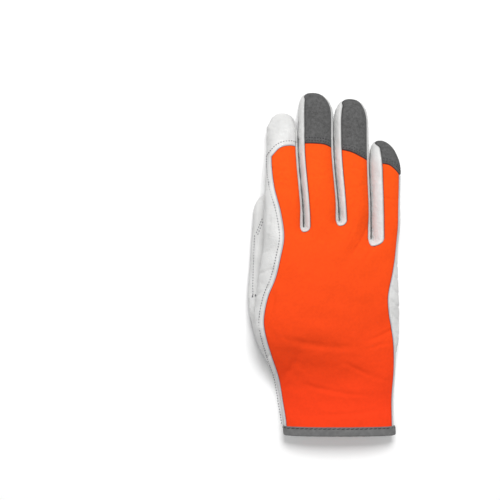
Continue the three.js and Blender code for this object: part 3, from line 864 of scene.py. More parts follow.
LEATHER_CREASES = table(
    "x y turn long wide bend depth",
    [
        (-49, 6, 88, 17, 1.0, 0.6, 0.5),
        (-45.5, 2, 84, 12, 0.9, 0.4, 0.3),
        (-47, 30, 70, 8, 1.0, 0.5, 0.3),
        (-44, -14, 35, 6, 0.9, 0.4, 0.35),
        (-47, -30, 20, 7, 1.0, 0.5, 0.35),
        (-50, -44, 40, 8, 1.1, 0.5, 0.4),
        (-53, -62, 62, 9, 1.1, 0.5, 0.4),
        (-47, -92, 40, 8, 1.1, 0.4, 0.4),
        (-41, -106, 58, 8, 1.0, 0.4, 0.35),
        (-37, -124, 72, 9, 1.0, 0.4, 0.35),
        (45, -24, -42, 6, 0.9, 0.3, 0.4),
        (44, -33, -38, 7, 0.9, 0.3, 0.45),
        (44, -43, -42, 7, 0.9, 0.3, 0.45),
        (44.5, -53, -40, 7, 0.9, 0.3, 0.4),
        (45, -63, -46, 6, 0.9, 0.3, 0.4),
        (46, -74, -50, 6, 0.9, 0.3, 0.35),
        (45, -88, -44, 5, 0.8, 0.2, 0.3),
        (-38, 72, -20, 7, 1.0, 0.4, 0.25),
        (-33, 64, 14, 6, 0.9, 0.3, 0.2),
    ],
)
PALM_CREASES = table(
    "x y turn long wide bend depth",
    [
        (-34, -2, 4, 13, 1.6, 1.0, 0.6),
        (-34, 22, -3, 11, 1.5, 0.8, 0.5),
        (-34, 48, 2, 10, 1.4, 0.6, 0.45),
        (-7, 0, -3, 12, 1.6, 0.8, 0.55),
        (-7, 28, 3, 10, 1.5, 0.6, 0.5),
        (-7, 58, 0, 10, 1.4, 0.6, 0.45),
        (18, -3, 3, 11, 1.6, 0.8, 0.55),
        (18, 26, -4, 10, 1.5, 0.6, 0.5),
        (18, 54, 2, 10, 1.4, 0.6, 0.45),
        (40, -14, -8, 10, 1.5, 0.8, 0.5),
        (40, 10, 4, 9, 1.4, 0.6, 0.45),
        (40, 32, 2, 8, 1.3, 0.6, 0.4),
        (-6, -30, 8, 34, 2.0, 4.0, 0.7),
        (4, -48, 22, 30, 2.0, 5.0, 0.6),
        (-14, -78, 62, 30, 2.2, -7.0, 0.7),
        (20, -92, 80, 22, 2.0, 2.0, 0.5),
        (34, -70, 74, 20, 1.8, 2.0, 0.45),
        (4, -122, 8, 26, 1.8, 1.5, 0.45),
        (6, -132, -4, 26, 1.6, 1.0, 0.4),
        (30, -40, 40, 16, 1.6, 1.5, 0.4),
    ],
)


def cloth_relief(points, rim):
    """Relief of the back cloth: soft unevenness, its folds, and edges turned into the seams."""
    soft = 0.35 * waves(points, 3, 20) + 0.1 * waves(points, 4, 7)
    folds = 1.5 * creases(points, CLOTH_CREASES, 1)
    return soft * smooth(rim / 5) + folds + seam_fall(rim, 0.5, 1.3)


def leather_relief(points, rim):
    """Relief of the palm leather: unevenness, folds of both faces, turned edges."""
    soft = 0.3 * waves(points, 5, 17) + 0.14 * waves(points, 6, 5.5)
    folds = 1.5 * creases(points, LEATHER_CREASES, 1) + creases(points, PALM_CREASES, -1)
    bump = np.exp(-(((points[:, 1] - 74) / 2.4) ** 2) - ((points[:, 0] + 46.6) / 3) ** 2)
    return soft * smooth(rim / 4) + folds + 1.0 * bump + seam_fall(rim, 0.5, 1.2)


def web_relief(points, rim):
    """Relief of the side leather between fingers: close wrinkles across the strip."""
    along = points[:, 1] + 0.7 * points[:, 0] + 1.2 * waves(points, 8, 9)
    pleats = np.abs(np.sin(along * math.pi / 3.1)) ** 0.7 - 0.6
    soft = 0.26 * pleats * smooth(rim / 1.2) + 0.12 * waves(points, 9, 5) + 0.2 * smooth(rim / 2)
    return soft + seam_fall(rim, 0.3, 0.8)


def cap_relief(points, rim):
    """Relief of a suede cap: soft unevenness and edges turned into the seams."""
    soft = 0.2 * waves(points, 11, 13) + 0.06 * waves(points, 12, 4)
    return soft * smooth(rim / 3) + seam_fall(rim, 0.55, 1.4)


def thumb_relief(points, rim):
    """Relief of the thumb's leather: gathers that run along it, turned edges."""
    soft = 0.25 * waves(points, 14, 16) + 0.12 * waves(points * np.array([1.0, 0.5, 1.0]), 15, 5)
    return soft * smooth(rim / 3) + seam_fall(rim, 0.5, 1.2)


def rib_relief(points, rim):
    """Relief of the ribbed panel: close diagonal ribs, raised as half waves."""
    along = 0.82 * points[:, 1] + 0.57 * points[:, 0]
    ribs = np.abs(np.sin(along * math.pi / RIB_PITCH)) - 0.5
    return 0.34 * ribs * smooth(rim / 1.2) + seam_fall(rim, 0.5, 1.2)


def srgb(code):
    """A hex colour as linear red, green and blue."""
    parts = np.array([int(code[i : i + 2], 16) for i in (0, 2, 4)]) / 255
    linear = np.where(parts <= 0.04045, parts / 12.92, ((parts + 0.055) / 1.055) ** 2.4)
    return tuple(linear.tolist())


def tinted(name, share=1.0):
    """A colour of the settings, darkened or lightened by a share, with full alpha."""
    colour = getattr(bpy.context.scene.glove, name)
    return (*[min(part * share, 1.0) for part in colour], 1.0)


def add_node(tree, kind, values=None, **settings):
    """A node with its settings, each input set to a value or linked to another's output."""
    made = tree.nodes.new(kind)
    for name, value in settings.items():
        setattr(made, name, value)
    for name, value in (values or {}).items():
        if isinstance(value, bpy.types.NodeSocket):
            tree.links.new(value, made.inputs[name])
        else:
            made.inputs[name].default_value = value
    return made


def blend(tree, factor, low, high, how="MIX"):
    """The colour between two colours, by a factor."""
    mix = add_node(tree, "ShaderNodeMix", data_type="RGBA", blend_type=how)
    for index, value in ((0, factor), (6, low), (7, high)):
        if isinstance(value, bpy.types.NodeSocket):
            tree.links.new(value, mix.inputs[index])
        else:
            mix.inputs[index].default_value = value
    return mix.outputs[2]


def ranged(tree, value, low, high, to_low, to_high):
    """A value carried from one range to another, held at its ends."""
    values = {"From Min": low, "From Max": high, "To Min": to_low, "To Max": to_high}
    node = add_node(tree, "ShaderNodeMapRange", {"Value": value, **values})
    return node.outputs["Result"]


def noise(tree, place, scale, detail=3.0):
    """A noise value on the object's own coordinates."""
    values = {"Vector": place, "Scale": scale, "Detail": detail}
    return add_node(tree, "ShaderNodeTexNoise", values).outputs["Fac"]


def start_material(name, roughness, **inputs):
    """A material with its shader, its node tree and the object's own coordinates."""
    made = bpy.data.materials.new(name)
    made.use_nodes = True
    tree = made.node_tree
    shader = tree.nodes["Principled BSDF"]
    shader.inputs["Roughness"].default_value = roughness
    for key, value in inputs.items():
        shader.inputs[key.replace("_", " ")].default_value = value
    place = add_node(tree, "ShaderNodeTexCoord").outputs["Object"]
    return made, tree, shader, place


def painted_seam_shade(tree, colour, dark, width):
    """A colour darkened towards the edge of the piece: painted shade where the panel turns into
    its seam.
    """
    rim = add_node(tree, "ShaderNodeAttribute", attribute_name="rim").outputs["Fac"]
    return blend(tree, ranged(tree, rim, 0.0, width, 1.0, 0.0), colour, dark)


def raise_bumps(tree, shader, layers):
    """Bumps laid one on another: each a height, its depth in metres and its strength."""
    normal = None
    for height, depth, strength in layers:
        values = {"Height": height, "Distance": depth, "Strength": strength}
        if normal is not None:
            values["Normal"] = normal
        normal = add_node(tree, "ShaderNodeBump", values).outputs["Normal"]
    tree.links.new(normal, shader.inputs["Normal"])


def leather_material():
    """White grain leather: pebbled cells, fine wrinkles and a slight mottle."""
    made, tree, shader, place = start_material("white_leather", 0.52, Coat_Weight=0.05)
    shader.inputs["Subsurface Weight"].default_value = 0.04
    shader.inputs["Subsurface Radius"].default_value = (0.002, 0.0018, 0.0016)
    mottle = noise(tree, place, 55.0, 4.0)
    mottle = ranged(tree, mottle, 0.35, 0.7, 0.0, 1.0)
    base = blend(tree, mottle, tinted("leather_colour"), tinted("leather_colour", 0.89))
    # Painted shade: the leather darkens towards its seams.
    base = painted_seam_shade(tree, base, tinted("leather_colour", 0.56), 1.1)
    tree.links.new(base, shader.inputs["Base Color"])
    values = {"Vector": place, "Scale": 900.0}
    cells = add_node(tree, "ShaderNodeTexVoronoi", values, feature="SMOOTH_F1").outputs["Distance"]
    layers = [(noise(tree, place, 190.0, 5.0), 0.0016, 0.45), (cells, 0.0004, 0.45)]
    raise_bumps(tree, shader, layers)
    return made


def cloth_material():
    """Orange woven cloth: two crossed threads, uneven dye, a soft sheen."""
    made, tree, shader, place = start_material("woven_cloth", 0.85, Specular_IOR_Level=0.12)
    threads = []
    for way in ("X", "Y"):
        values = {"Vector": place, "Scale": 420.0, "Distortion": 0.6, "Detail": 1.0}
        wave = add_node(tree, "ShaderNodeTexWave", values, bands_direction=way)
        threads.append(wave.outputs["Fac"])
    weave = add_node(tree, "ShaderNodeMath", operation="MULTIPLY")
    tree.links.new(threads[0], weave.inputs[0])
    tree.links.new(threads[1], weave.inputs[1])
    along = add_node(tree, "ShaderNodeSeparateXYZ", {"Vector": place}).outputs["Y"]
    lower, upper = tinted("cloth_lower_colour"), tinted("cloth_upper_colour")
    hue = blend(tree, ranged(tree, along, -0.1, 0.06, 0.0, 1.0), lower, upper)
    dye = ranged(tree, noise(tree, place, 520.0, 4.0), 0.35, 0.75, 0.0, 0.28)
    base = blend(tree, dye, hue, tinted("cloth_lower_colour", 0.78))
    grain = ranged(tree, weave.outputs[0], 0.0, 1.0, 0.18, 0.0)
    base = blend(tree, grain, base, tinted("cloth_lower_colour", 0.5))
    # Painted shade: the cloth darkens towards its seams.
    base = painted_seam_shade(tree, base, tinted("cloth_lower_colour", 0.45), 0.7)
    tree.links.new(base, shader.inputs["Base Color"])
    layers = [(noise(tree, place, 140.0, 3.0), 0.0012, 0.3), (weave.outputs[0], 0.0002, 0.5)]
    raise_bumps(tree, shader, layers)
    return made


def suede_material():
    """Grey suede: a brushed nap in patches of two greys."""
    made, tree, shader, place = start_material("brushed_suede", 0.95, Specular_IOR_Level=0.15)
    patch = ranged(tree, noise(tree, place, 480.0, 4.0), 0.35, 0.68, 0.0, 1.0)
    base = blend(tree, patch, tinted("suede_colour", 0.8), tinted("suede_colour", 1.25))
    fibre = ranged(tree, noise(tree, place, 1300.0, 3.0), 0.35, 0.7, 0.0, 0.3)
    base = blend(tree, fibre, base, tinted("suede_colour", 2.2))
    # Painted shade: the suede darkens towards its seams.
    base = painted_seam_shade(tree, base, tinted("suede_colour", 0.45), 0.8)
    tree.links.new(base, shader.inputs["Base Color"])
    fine = noise(tree, place, 1400.0, 3.0)
    raise_bumps(tree, shader, [(noise(tree, place, 260.0, 4.0), 0.001, 0.35), (fine, 0.0003, 0.5)])
    return made


def rib_material():
    """Black rubbery cloth between the raised ribs."""
    made, tree, shader, place = start_material("ribbed_cloth", 0.7, Sheen_Weight=0.1)
    speck = ranged(tree, noise(tree, place, 900.0, 3.0), 0.35, 0.7, 0.0, 1.0)
    base = blend(tree, speck, tinted("rib_colour"), tinted("rib_colour", 2.2))
    tree.links.new(base, shader.inputs["Base Color"])
    raise_bumps(tree, shader, [(noise(tree, place, 1200.0, 2.0), 0.0002, 0.4)])
    return made


def tape_material():
    """Grey woven tape: close ribs across it."""
    made, tree, shader, place = start_material("woven_tape", 0.88, Sheen_Weight=0.05)
    values = {"Vector": place, "Scale": 380.0, "Distortion": 1.0, "Detail": 1.0}
    wave = add_node(tree, "ShaderNodeTexWave", values, bands_direction="X").outputs["Fac"]
    mottle = ranged(tree, noise(tree, place, 320.0, 4.0), 0.3, 0.7, 0.0, 1.0)
    base = blend(tree, mottle, tinted("tape_colour", 0.85), tinted("tape_colour", 1.15))
    base = blend(tree, ranged(tree, wave, 0.0, 0.6, 0.35, 0.0), base, tinted("tape_colour", 0.5))
    tree.links.new(base, shader.inputs["Base Color"])
    raise_bumps(tree, shader, [(wave, 0.0002, 0.5)])
    return made


def plain_material(name, colour, roughness):
    """A plain material of one colour, for thread, piping and floor."""
    made, _, shader, _ = start_material(name, roughness)
    shader.inputs["Base Color"].default_value = (*colour[:3], 1.0)
    return made


MATERIALS = {
    "white_leather": leather_material,
    "woven_cloth": cloth_material,
    "brushed_suede": suede_material,
    "ribbed_cloth": rib_material,
    "woven_tape": tape_material,
    # The thread is white; its grey is painted shade of the holes it sinks into.
    "grey_thread": lambda: plain_material("grey_thread", tinted("thread_painted_shade_colour"), 0.8),
    "dark_thread": lambda: plain_material("dark_thread", srgb("3B3B3E"), 0.8),
    # The leather's turned edge at the side seams, coloured blue-grey as painted shade.
    "pale_piping": lambda: plain_material("pale_piping", srgb("B2B8C2"), 0.7),
}


def material(name):
    """The named material, made the first time it is asked for."""
    return bpy.data.materials.get(name) or MATERIALS[name]()


def back_grids():
    """The cloth over the back of the hand and four fingers."""
    shares = hand_columns("cloth")[2]
    fingers = [(finger_grid(k, "cloth", shares[k], True), False) for k in range(4)]
    return [(hand_grid("cloth"), False), *fingers]


def palm_grids():
    """The leather of the palm, of the fingers' fronts, round both sides and over the index tip."""
    shares = hand_columns("palm")[2]
    grids = [(hand_grid("palm"), True)]
    grids += [(finger_grid(k, "palm", shares[k], False), True) for k in range(4)]
    grids += [(side_wrap(-1, rows), True) for rows in (False, True)]
    grids += [(side_wrap(1, rows), False) for rows in (False, True)]
    grids.append((cap_grid(0, FINGER_COLUMNS[0]), False))
    return grids


def thumb_grid(first, last, start, end, rows, columns):
    """A strip of the thumb between two angles, given as functions of the place along it."""
    s = start + (end - start) * np.linspace(0, 1, rows)[:, None]
    if end >= 1:
        s = 1 - (1 - start) * (1 - np.linspace(0, 1, rows)[:, None]) ** 1.6
    begin, finish = first(s), last(s)
    return thumb_points(s, begin + (finish - begin) * np.linspace(0, 1, columns)[None])


def thumb_front_grids():
    """The thumb's leather: over its top and tip, and under the tip past the ribbed panel."""
    top = thumb_grid(lambda s: rib_end(s) - 2 * math.pi, rib_start, THUMB_START, 1.0, 150, 60)
    tip = thumb_grid(rib_start, rib_end, RIB_END, 1.0, 40, 50)
    return [(top, True), (tip, True)]


def thumb_rib_grids():
    """The ribbed panel on the thumb's lower side."""
    return [(thumb_grid(rib_start, rib_end, THUMB_START, RIB_END, 300, 90), True)]


def binding_grids():
    """The folded tape round the cuff: its profile carried round the hand's section.

    The profile runs down the outside, puffed by half a sine, round the lip on half an
    ellipse and up the inside. The tape's overlapped end lies on it at the little finger.
    """
    angle = np.linspace(0, 2 * math.pi, BINDING_COLUMNS)[None]
    turn = np.linspace(0, math.pi, 9)
    lip = BINDING_LIP
    middle = -WALL / 2
    reach = BINDING_THICKNESS - middle
    rise = np.linspace(BINDING_HEIGHT, lip, 12)
    puff = BINDING_PUFF * np.sin(math.pi * (rise - lip) / (BINDING_HEIGHT - lip))
    out = np.concatenate(
        [
            [-0.3],
            BINDING_THICKNESS - BINDING_INSET + puff,
            middle + (reach - BINDING_INSET) * np.cos(turn),
            np.full(8, middle - reach + BINDING_INSET),
        ]
    )
    up = np.concatenate(
        [[BINDING_HEIGHT + 0.1], rise, lip - lip * np.sin(turn), np.linspace(1.6, 6.4, 8)]
    )
    y = up[:, None] - HAND_LENGTH
    tab_angle = np.linspace(*TAB_ANGLES, TAB_COLUMNS)[None]
    tab_y = np.array(TAB_UP)[:, None] - HAND_LENGTH
    end = 1 - 0.9 * (np.abs(np.linspace(-1, 1, TAB_COLUMNS)[None]) > 0.99)
    tab = cuff_ring(tab_y + 0 * tab_angle, tab_angle, np.array(TAB_OUT)[:, None] * end)
    return [(cuff_ring(y + 0 * angle, angle, out[:, None]), False), (tab[::-1], False)]


def tube(path, radius, sides=8):
    """A closed round cord along a path: rings square to it, shrunk to a point at both ends."""
    along = np.gradient(path, axis=0)
    along /= np.maximum(np.linalg.norm(along, axis=1, keepdims=True), 1e-9)
    across = np.cross(along, [0.0, 0.0, 1.0])
    across /= np.maximum(np.linalg.norm(across, axis=1, keepdims=True), 1e-9)
    over = np.cross(across, along)
    angle = np.linspace(0, 2 * math.pi, sides + 1)[None, :, None]
    ring = np.cos(angle) * across[:, None] + np.sin(angle) * over[:, None]
    grid = path[:, None] + radius * ring
    start = np.repeat(path[:1, None], sides + 1, 1)
    end = np.repeat(path[-1:, None], sides + 1, 1)
    return np.concatenate([start, grid, end])


def evenly(path, normals, pitch):
    """A path and its normals taken again at an even pitch, with the directions along it."""
    step = np.linalg.norm(np.diff(path, axis=0), axis=1)
    length = np.concatenate([[0], np.cumsum(step)])
    count = max(int(length[-1] / pitch), 2)
    at = (np.arange(count) + 0.5) * length[-1] / count
    place = np.stack([np.interp(at, length, path[:, i]) for i in range(3)], -1)
    up = np.stack([np.interp(at, length, normals[:, i]) for i in range(3)], -1)
    ahead = np.stack([np.interp(at + 0.3, length, path[:, i]) for i in range(3)], -1)
    behind = np.stack([np.interp(at - 0.3, length, path[:, i]) for i in range(3)], -1)
    along = ahead - behind
    return place, up, along / np.maximum(np.linalg.norm(along, axis=1, keepdims=True), 1e-9)


def stitch_row(path, normals, pitch, length, radius, turn=0.0):
    """Short rounded threads along a path, each a small spindle laid on the surface."""
    place, up, along = evenly(path, normals, pitch)
    side = np.cross(up, along)
    side /= np.maximum(np.linalg.norm(side, axis=1, keepdims=True), 1e-9)
    up = np.cross(along, side)
    way = along * math.cos(turn) + side * math.sin(turn)
    other = np.cross(up, way)
    t = np.array([-1.0, -0.78, 0.0, 0.78, 1.0])[:, None]
    thick = radius * np.array([0.0, 0.75, 1.0, 0.75, 0.0])[:, None]
    angle = np.linspace(0, 2 * math.pi, 7)[None]
    rise = thick * np.sin(angle) + radius * (0.5 - 0.9 * t * t)
    spread = thick * np.cos(angle)
    ahead = t * length / 2 + 0 * angle
    grid = (
        place[:, None, None]
        + ahead[None, ..., None] * way[:, None, None]
        + spread[None, ..., None] * other[:, None, None]
        + rise[None, ..., None] * up[:, None, None]
    )
    return [(one, True) for one in grid]


def on_surface(x, y, k, side=1):
    """Points and outward normals at x and y, on the glove's back (1) or its palm (-1)."""
    e = 0.2
    z = shell(x, y, side, k)
    slope_x = (shell(x + e, y, side, k) - shell(x - e, y, side, k)) / (2 * e)
    slope_y = (shell(x, y + e, side, k) - shell(x, y - e, side, k)) / (2 * e)
    normal = side * points_of(-slope_x, -slope_y, np.ones_like(z))
    normal /= np.linalg.norm(normal, axis=-1, keepdims=True)
    return points_of(x, y, z), normal


def side_seam(side, offset):
    """Places along the cloth's side edge, moved outwards; on the thumb side over the index cap."""
    k = 0 if side < 0 else 3
    end = cap_seam(k, np.array([0.0 if side < 0 else 1.0]))[0]
    y = np.linspace(SEAM_START - HAND_LENGTH, end, 240)
    x = cloth_edge(side, y)
    if side < 0:
        share = np.linspace(0, 1, 60)[1:]
        top = cap_seam(0, share)
        left, right = across_limits(0, top, "cloth")
        centre, half, _ = finger_middle(0, top)
        x = np.concatenate([x, centre + half * (left + (right - left) * share)])
        y = np.concatenate([y, top])
    dx, dy = np.gradient(x), np.gradient(y)
    for _ in range(SEAM_PASSES):
        dx[1:-1] = (dx[:-2] + dx[2:] + 2 * dx[1:-1]) / 4
        dy[1:-1] = (dy[:-2] + dy[2:] + 2 * dy[1:-1]) / 4
    size = np.hypot(dx, dy)
    return x + side * offset * dy / size, y - side * offset * dx / size, k


def stitch_size():
    """Pitch, length and radius of the seam stitches, in millimetres."""
    settings = bpy.context.scene.glove
    pitch = settings.stitch_pitch / METRES
    radius = settings.thread_radius / METRES
    return {"pitch": pitch, "length": pitch * STITCH_SHARE, "radius": radius}


def cap_rows():
    """The two stitch rows over each suede cap's front seam."""
    rows = []
    for k in (1, 2, 3):
        share = np.linspace(0.04, 0.97, 60)
        y = cap_seam(k, share)
        left, right = across_limits(k, y, "cap")
        for offset in CAP_STITCH_OFFSETS:
            centre, half, round_ = finger_middle(k, y + offset)
            x = centre + half * round_ * (left + (right - left) * share)
            rows += stitch_row(*on_surface(x, y + offset, k), **stitch_size())
    return rows


def seam_rows():
    """The grey stitch rows: beside the cloth on the thumb's side, and on the thumb."""
    size = stitch_size()
    rows = stitch_row(*on_surface(*side_seam(-1, SIDE_STITCH_OFFSET)), **size)
    for start, end, first, last in THUMB_STITCHES:
        t = np.linspace(0, 1, 60)
        path = thumb_points(start + (end - start) * t, first + (last - first) * t)
        ahead = thumb_points(start + (end - start) * t, first + (last - first) * t + 0.02)
        forward = thumb_points(start + (end - start) * t + 0.002, first + (last - first) * t)
        normal = np.cross(forward - path, ahead - path)
        normal /= np.maximum(np.linalg.norm(normal, axis=1, keepdims=True), 1e-9)
        rows += stitch_row(path, normal * np.sign(normal[:, 2:]), **size)
    return rows


def palm_rows():
    """Stitches of the palm: beside every slot, round its end and beside the thumb's seam."""
    size = stitch_size()
    rows = []
    for k in range(3):
        crotch = SLOTS[k]["crotch"]
        for finger, side in ((k, 1), (k + 1, -1)):
            y = np.linspace(crotch, FINGERS[finger]["length"] - 12, 90)
            centre, half, round_ = finger_middle(finger, y)
            share = 1 - slot_share(finger, side, y, False) - STITCH_INSET / half
            x = centre + half * round_ * side * share
            rows += stitch_row(*on_surface(x, y, finger, -1), **size)
        angle = np.linspace(0, math.pi, 30)
        x = slit_x(k + 1, crotch) - (SLOT_UNDER + STITCH_INSET) * np.cos(angle)
        y = crotch - (SLOT_UNDER_END + STITCH_INSET) * np.sin(angle)
        rows += stitch_row(*on_surface(x, y, None, -1), **size)
    x, y = thumb_seam(THUMB_STITCH_OFFSET)
    return rows + stitch_row(*on_surface(x, y, None, -1), **size)


def thumb_seam(offset):
    """Places on the palm beside the thumb's base, where its leather is sewn in."""
    s = np.linspace(0.1, 0.74, 120)
    half = THUMB_WIDTH / 2 * column(THUMB_ROWS, "half", s)
    centre = KNUCKLE_HALF * column(THUMB_ROWS, "centre", s)
    bend = 3.0 * np.sin((s - 0.1) * 9)
    return centre + half + 3.0 + bend + offset, THUMB_ROOT_Y + s * THUMB_SPAN


def binding_rows():
    """The long slanted dark stitches that hold the binding along its top edge, all round."""
    angle = np.linspace(0, 2 * math.pi, 600)
    y = np.full_like(angle, BINDING_STITCH_LEVEL - HAND_LENGTH)
    path = cuff_ring(y, angle, BINDING_THICKNESS - BINDING_STITCH_SINK)
    normal = path - cuff_ring(y, angle, 0.0)
    normal /= np.maximum(np.linalg.norm(normal, axis=1, keepdims=True), 1e-9)
    return stitch_row(path, normal, **BINDING_STITCH)


def piping_grids():
    """The thin pale edges laid in the cloth's two side seams: the leather's edge turned into the
    seam, its blue-grey a painted shade.
    """
    grids = []
    for side in (-1, 1):
        path, normal = on_surface(*side_seam(side, PIPING_OFFSET))
        grids.append((tube(path - PIPING_SINK * normal, PIPING_RADIUS), True))
    return grids


def thread_object(name, grids, slot, material_name):
    """Threads or cords as one object that rides the glove."""
    points, quads, tris = weld(grids)
    piece = make_object(name, points, quads, tris, material(material_name))
    finish_piece(piece, slot)
    return piece


class GloveSettings(bpy.types.PropertyGroup):
    """Sizes and colours of the finish, and the stage."""

    relief: FloatProperty(
        name="Relief",
        description="How strong the wrinkles and folds of cloth and leather are",
        default=1.0,
        min=0.0,
        max=3.0,
    )
    stitch_pitch: FloatProperty(
        name="Stitch pitch",
        description="Distance from one stitch to the next",
        default=0.002,
        unit="LENGTH",
    )
    thread_radius: FloatProperty(
        name="Thread radius",
        description="Half the thickness of the sewing thread",
        default=0.00036,
        unit="LENGTH",
    )
    leather_colour: FloatVectorProperty(
        name="Leather",
        description="Colour of the white grain leather",
        default=srgb("DBDBDA"),
        size=3,
        min=0.0,
        max=1.0,
        subtype="COLOR",
    )
    cloth_upper_colour: FloatVectorProperty(
        name="Cloth, fingers",
        description="Colour of the orange cloth near the fingers",
        default=srgb("FF5C16"),
        size=3,
        min=0.0,
        max=1.0,
        subtype="COLOR",
    )
    cloth_lower_colour: FloatVectorProperty(
        name="Cloth, cuff",
        description="Colour of the orange cloth near the cuff",
        default=srgb("FF441A"),
        size=3,
        min=0.0,
        max=1.0,
        subtype="COLOR",
    )
    suede_colour: FloatVectorProperty(
        name="Suede",
        description="Colour of the grey fingertip suede",
        default=srgb("535353"),
        size=3,
        min=0.0,
        max=1.0,
        subtype="COLOR",
    )
    rib_colour: FloatVectorProperty(
        name="Ribbed panel",
        description="Colour of the black panel on the thumb",
        default=srgb("1F1F20"),
        size=3,
        min=0.0,
        max=1.0,
        subtype="COLOR",
    )
    tape_colour: FloatVectorProperty(
        name="Tape",
        description="Colour of the tape round the cuff",
        default=srgb("707070"),
        size=3,
        min=0.0,
        max=1.0,
        subtype="COLOR",
    )
    # The thread's grey is white thread with the shade of its stitch holes painted in.
    thread_painted_shade_colour: FloatVectorProperty(
        name="Thread",
        description="Colour of the thread on the leather",
        default=srgb("6E6E72"),
        size=3,
        min=0.0,
        max=1.0,
        subtype="COLOR",
    )
    key_light: FloatProperty(
        name="Key light",
        description="Power of the large soft light beyond the fingertips",
        default=34.0,
        unit="POWER",
    )
    camera_height: FloatProperty(
        name="Camera height",
        description="Height of the camera over the table",
        default=0.912,
        unit="LENGTH",
    )
    camera_place: FloatVectorProperty(
        name="Camera place",
        description="Where on the table the camera looks straight down",
        default=(-0.0546, 0.0101),
        size=2,
        subtype="TRANSLATION",
        unit="LENGTH",
    )
    camera_lens: FloatProperty(
        name="Camera lens",
        description="Focal length in millimetres",
        default=89.0,
    )


def relief_of(function):
    """A relief function scaled by the setting."""
    strength = bpy.context.scene.glove.relief
    return lambda points, rim: strength * function(points, rim)


class GLOVE_OT_cloth(bpy.types.Operator):
    """Build the orange cloth of the back"""

    bl_idname = "glove.cloth"
    bl_label = "Back cloth"

    def execute(self, context):
        """Builds the cloth over the back of the hand and fingers."""
        dress(
            "back_cloth", "back_panel", "orange_cloth", back_grids(),
            material("woven_cloth"), relief_of(cloth_relief),
        )
        return {"FINISHED"}


class GLOVE_OT_leather(bpy.types.Operator):
    """Build the white leather of the palm, the sides and between the fingers"""

    bl_idname = "glove.leather"
    bl_label = "Leather"

    def execute(self, context):
        """Builds the palm with its wraps and the three strips between the fingers."""
        white = material("white_leather")
        dress(
            "palm_leather", "palm_panel", "leather", palm_grids(), white,
            relief_of(leather_relief),
        )
        for k, slot in enumerate(SLOTS):
            name = slot["name"].replace("_fourchette", "_side_strip")
            dress(
                name, slot["name"], "leather", [(web_grid(k), True)], white,
                relief_of(web_relief), STRIP_THICKNESS,
            )
        return {"FINISHED"}


class GLOVE_OT_caps(bpy.types.Operator):
    """Build the grey suede caps of three fingertips"""

    bl_idname = "glove.caps"
    bl_label = "Suede caps"

    def execute(self, context):
        """Builds the caps of the middle, ring and little finger."""
        for k in (1, 2, 3):
            name = FINGERS[k]["name"]
            dress(
                name + "_suede_cap", name + "_tip_cap", "grey_suede", [(cap_grid(k, 56), False)],
                material("brushed_suede"), relief_of(cap_relief),
            )
        return {"FINISHED"}


class GLOVE_OT_thumb(bpy.types.Operator):
    """Build the thumb's leather and its ribbed panel"""

    bl_idname = "glove.thumb"
    bl_label = "Thumb"

    def execute(self, context):
        """Builds the thumb's top and tip, and the ribbed panel under its side."""
        dress(
            "thumb_leather", "thumb_front_panel", "leather", thumb_front_grids(),
            material("white_leather"), relief_of(thumb_relief),
        )
        dress(
            "thumb_ribs", "thumb_rib_panel", "black_rib", thumb_rib_grids(),
            material("ribbed_cloth"), relief_of(rib_relief), 0.0,
        )
        return {"FINISHED"}


class GLOVE_OT_cuff(bpy.types.Operator):
    """Build the tape round the cuff"""

    bl_idname = "glove.cuff"
    bl_label = "Cuff binding"

    def execute(self, context):
        """Builds the folded tape that holds the cuff's edge."""
        dress(
            "cuff_tape", "cuff_binding", "grey_tape", binding_grids(),
            material("woven_tape"), lambda points, rim: 0.05 * waves(points, 21, 4), 0.0,
        )
        return {"FINISHED"}


class GLOVE_OT_seams(bpy.types.Operator):
    """Build the stitches and the thin edges of the seams"""

    bl_idname = "glove.seams"
    bl_label = "Seams"

    def execute(self, context):
        """Builds the stitch rows, the raised seam beside the thumb and the piping."""
        thread_object("grey_stitches", seam_rows(), "leather", "grey_thread")
        thread_object("palm_stitches", palm_rows(), "leather", "grey_thread")
        path, _ = on_surface(*thumb_seam(0.0), None, -1)
        lip = tube(path, THUMB_LIP_RADIUS)
        # The lip has no rim attribute, so the leather's painted seam shade covers it all over.
        thread_object("thumb_seam_lip", [(lip, True)], "leather", "white_leather")
        thread_object("cap_stitches", cap_rows(), "grey_suede", "dark_thread")
        thread_object("binding_stitches", binding_rows(), "grey_tape", "dark_thread")
        thread_object("side_piping", piping_grids(), "leather", "pale_piping")
        return {"FINISHED"}


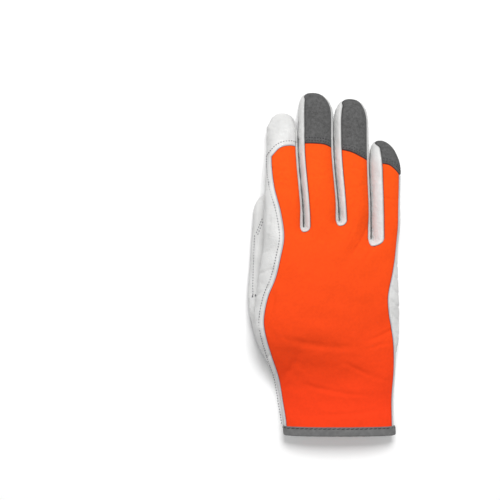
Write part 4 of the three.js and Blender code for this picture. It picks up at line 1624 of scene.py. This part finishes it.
class GLOVE_OT_stage(bpy.types.Operator):
    """Build the plain floor, the lights and the camera"""

    bl_idname = "glove.stage"
    bl_label = "Stage"

    def execute(self, context):
        """Lays the floor, hangs two soft lights and sets the camera over the glove."""
        settings = context.scene.glove
        mesh = bpy.data.meshes.new("floor")
        corners = [(-1, -1), (1, -1), (1, 1), (-1, 1)]
        places = [(FLOOR_HALF * x, FLOOR_HALF * y, -FLOOR_DROP) for x, y in corners]
        mesh.from_pydata(places, [], [(0, 1, 2, 3)])
        mesh.materials.append(plain_material("white_floor", srgb("FCFCFC"), 0.9))
        floor = bpy.data.objects.new("floor", mesh)
        context.scene.collection.objects.link(floor)
        for name, place, share, size in LIGHTS:
            light = bpy.data.lights.new(name, "AREA")
            light.energy = settings.key_light * share
            light.size = size
            lamp = bpy.data.objects.new(name, light)
            lamp.location = place
            aim = Vector((0, 0, 0)) - lamp.location
            lamp.rotation_euler = aim.to_track_quat("-Z", "Y").to_euler()
            context.scene.collection.objects.link(lamp)
        world = bpy.data.worlds.new("studio")
        world.use_nodes = True
        background = world.node_tree.nodes["Background"]
        background.inputs["Color"].default_value = (1, 1, 1, 1)
        background.inputs["Strength"].default_value = WORLD_LIGHT
        context.scene.world = world
        context.scene.view_settings.view_transform = "Standard"
        camera = bpy.data.objects.new("camera", bpy.data.cameras.new("camera"))
        camera.data.lens = settings.camera_lens
        camera.data.dof.use_dof = False
        camera.location = (*settings.camera_place, settings.camera_height)
        context.scene.collection.objects.link(camera)
        context.scene.camera = camera
        return {"FINISHED"}


class GLOVE_PT_panel(bpy.types.Panel):
    """Panel with the glove's settings and the buttons that build it"""

    bl_idname = "GLOVE_PT_panel"
    bl_label = "Gardening glove"
    bl_space_type = "VIEW_3D"
    bl_region_type = "UI"
    bl_category = "Glove"

    def draw(self, context):
        """Lists the settings and the operators."""
        settings = context.scene.glove
        for name in GloveSettings.__annotations__:
            self.layout.prop(settings, name)
        for kind in OPERATORS:
            self.layout.operator(kind.bl_idname)


OPERATORS = (
    GLOVE_OT_cloth,
    GLOVE_OT_leather,
    GLOVE_OT_caps,
    GLOVE_OT_thumb,
    GLOVE_OT_cuff,
    GLOVE_OT_seams,
    GLOVE_OT_stage,
)


def register():
    """Registers the settings, the operators and the panel."""
    for kind in (GloveSettings, *OPERATORS, GLOVE_PT_panel):
        bpy.utils.register_class(kind)
    bpy.types.Scene.glove = PointerProperty(type=GloveSettings)


def unregister():
    """Removes what register added."""
    del bpy.types.Scene.glove
    for kind in (GLOVE_PT_panel, *reversed(OPERATORS), GloveSettings):
        bpy.utils.unregister_class(kind)


def main():
    """Builds every piece and the stage."""
    register()
    for kind in OPERATORS:
        group, name = kind.bl_idname.split(".")
        getattr(getattr(bpy.ops, group), name)()


if __name__ == "__main__":
    main()
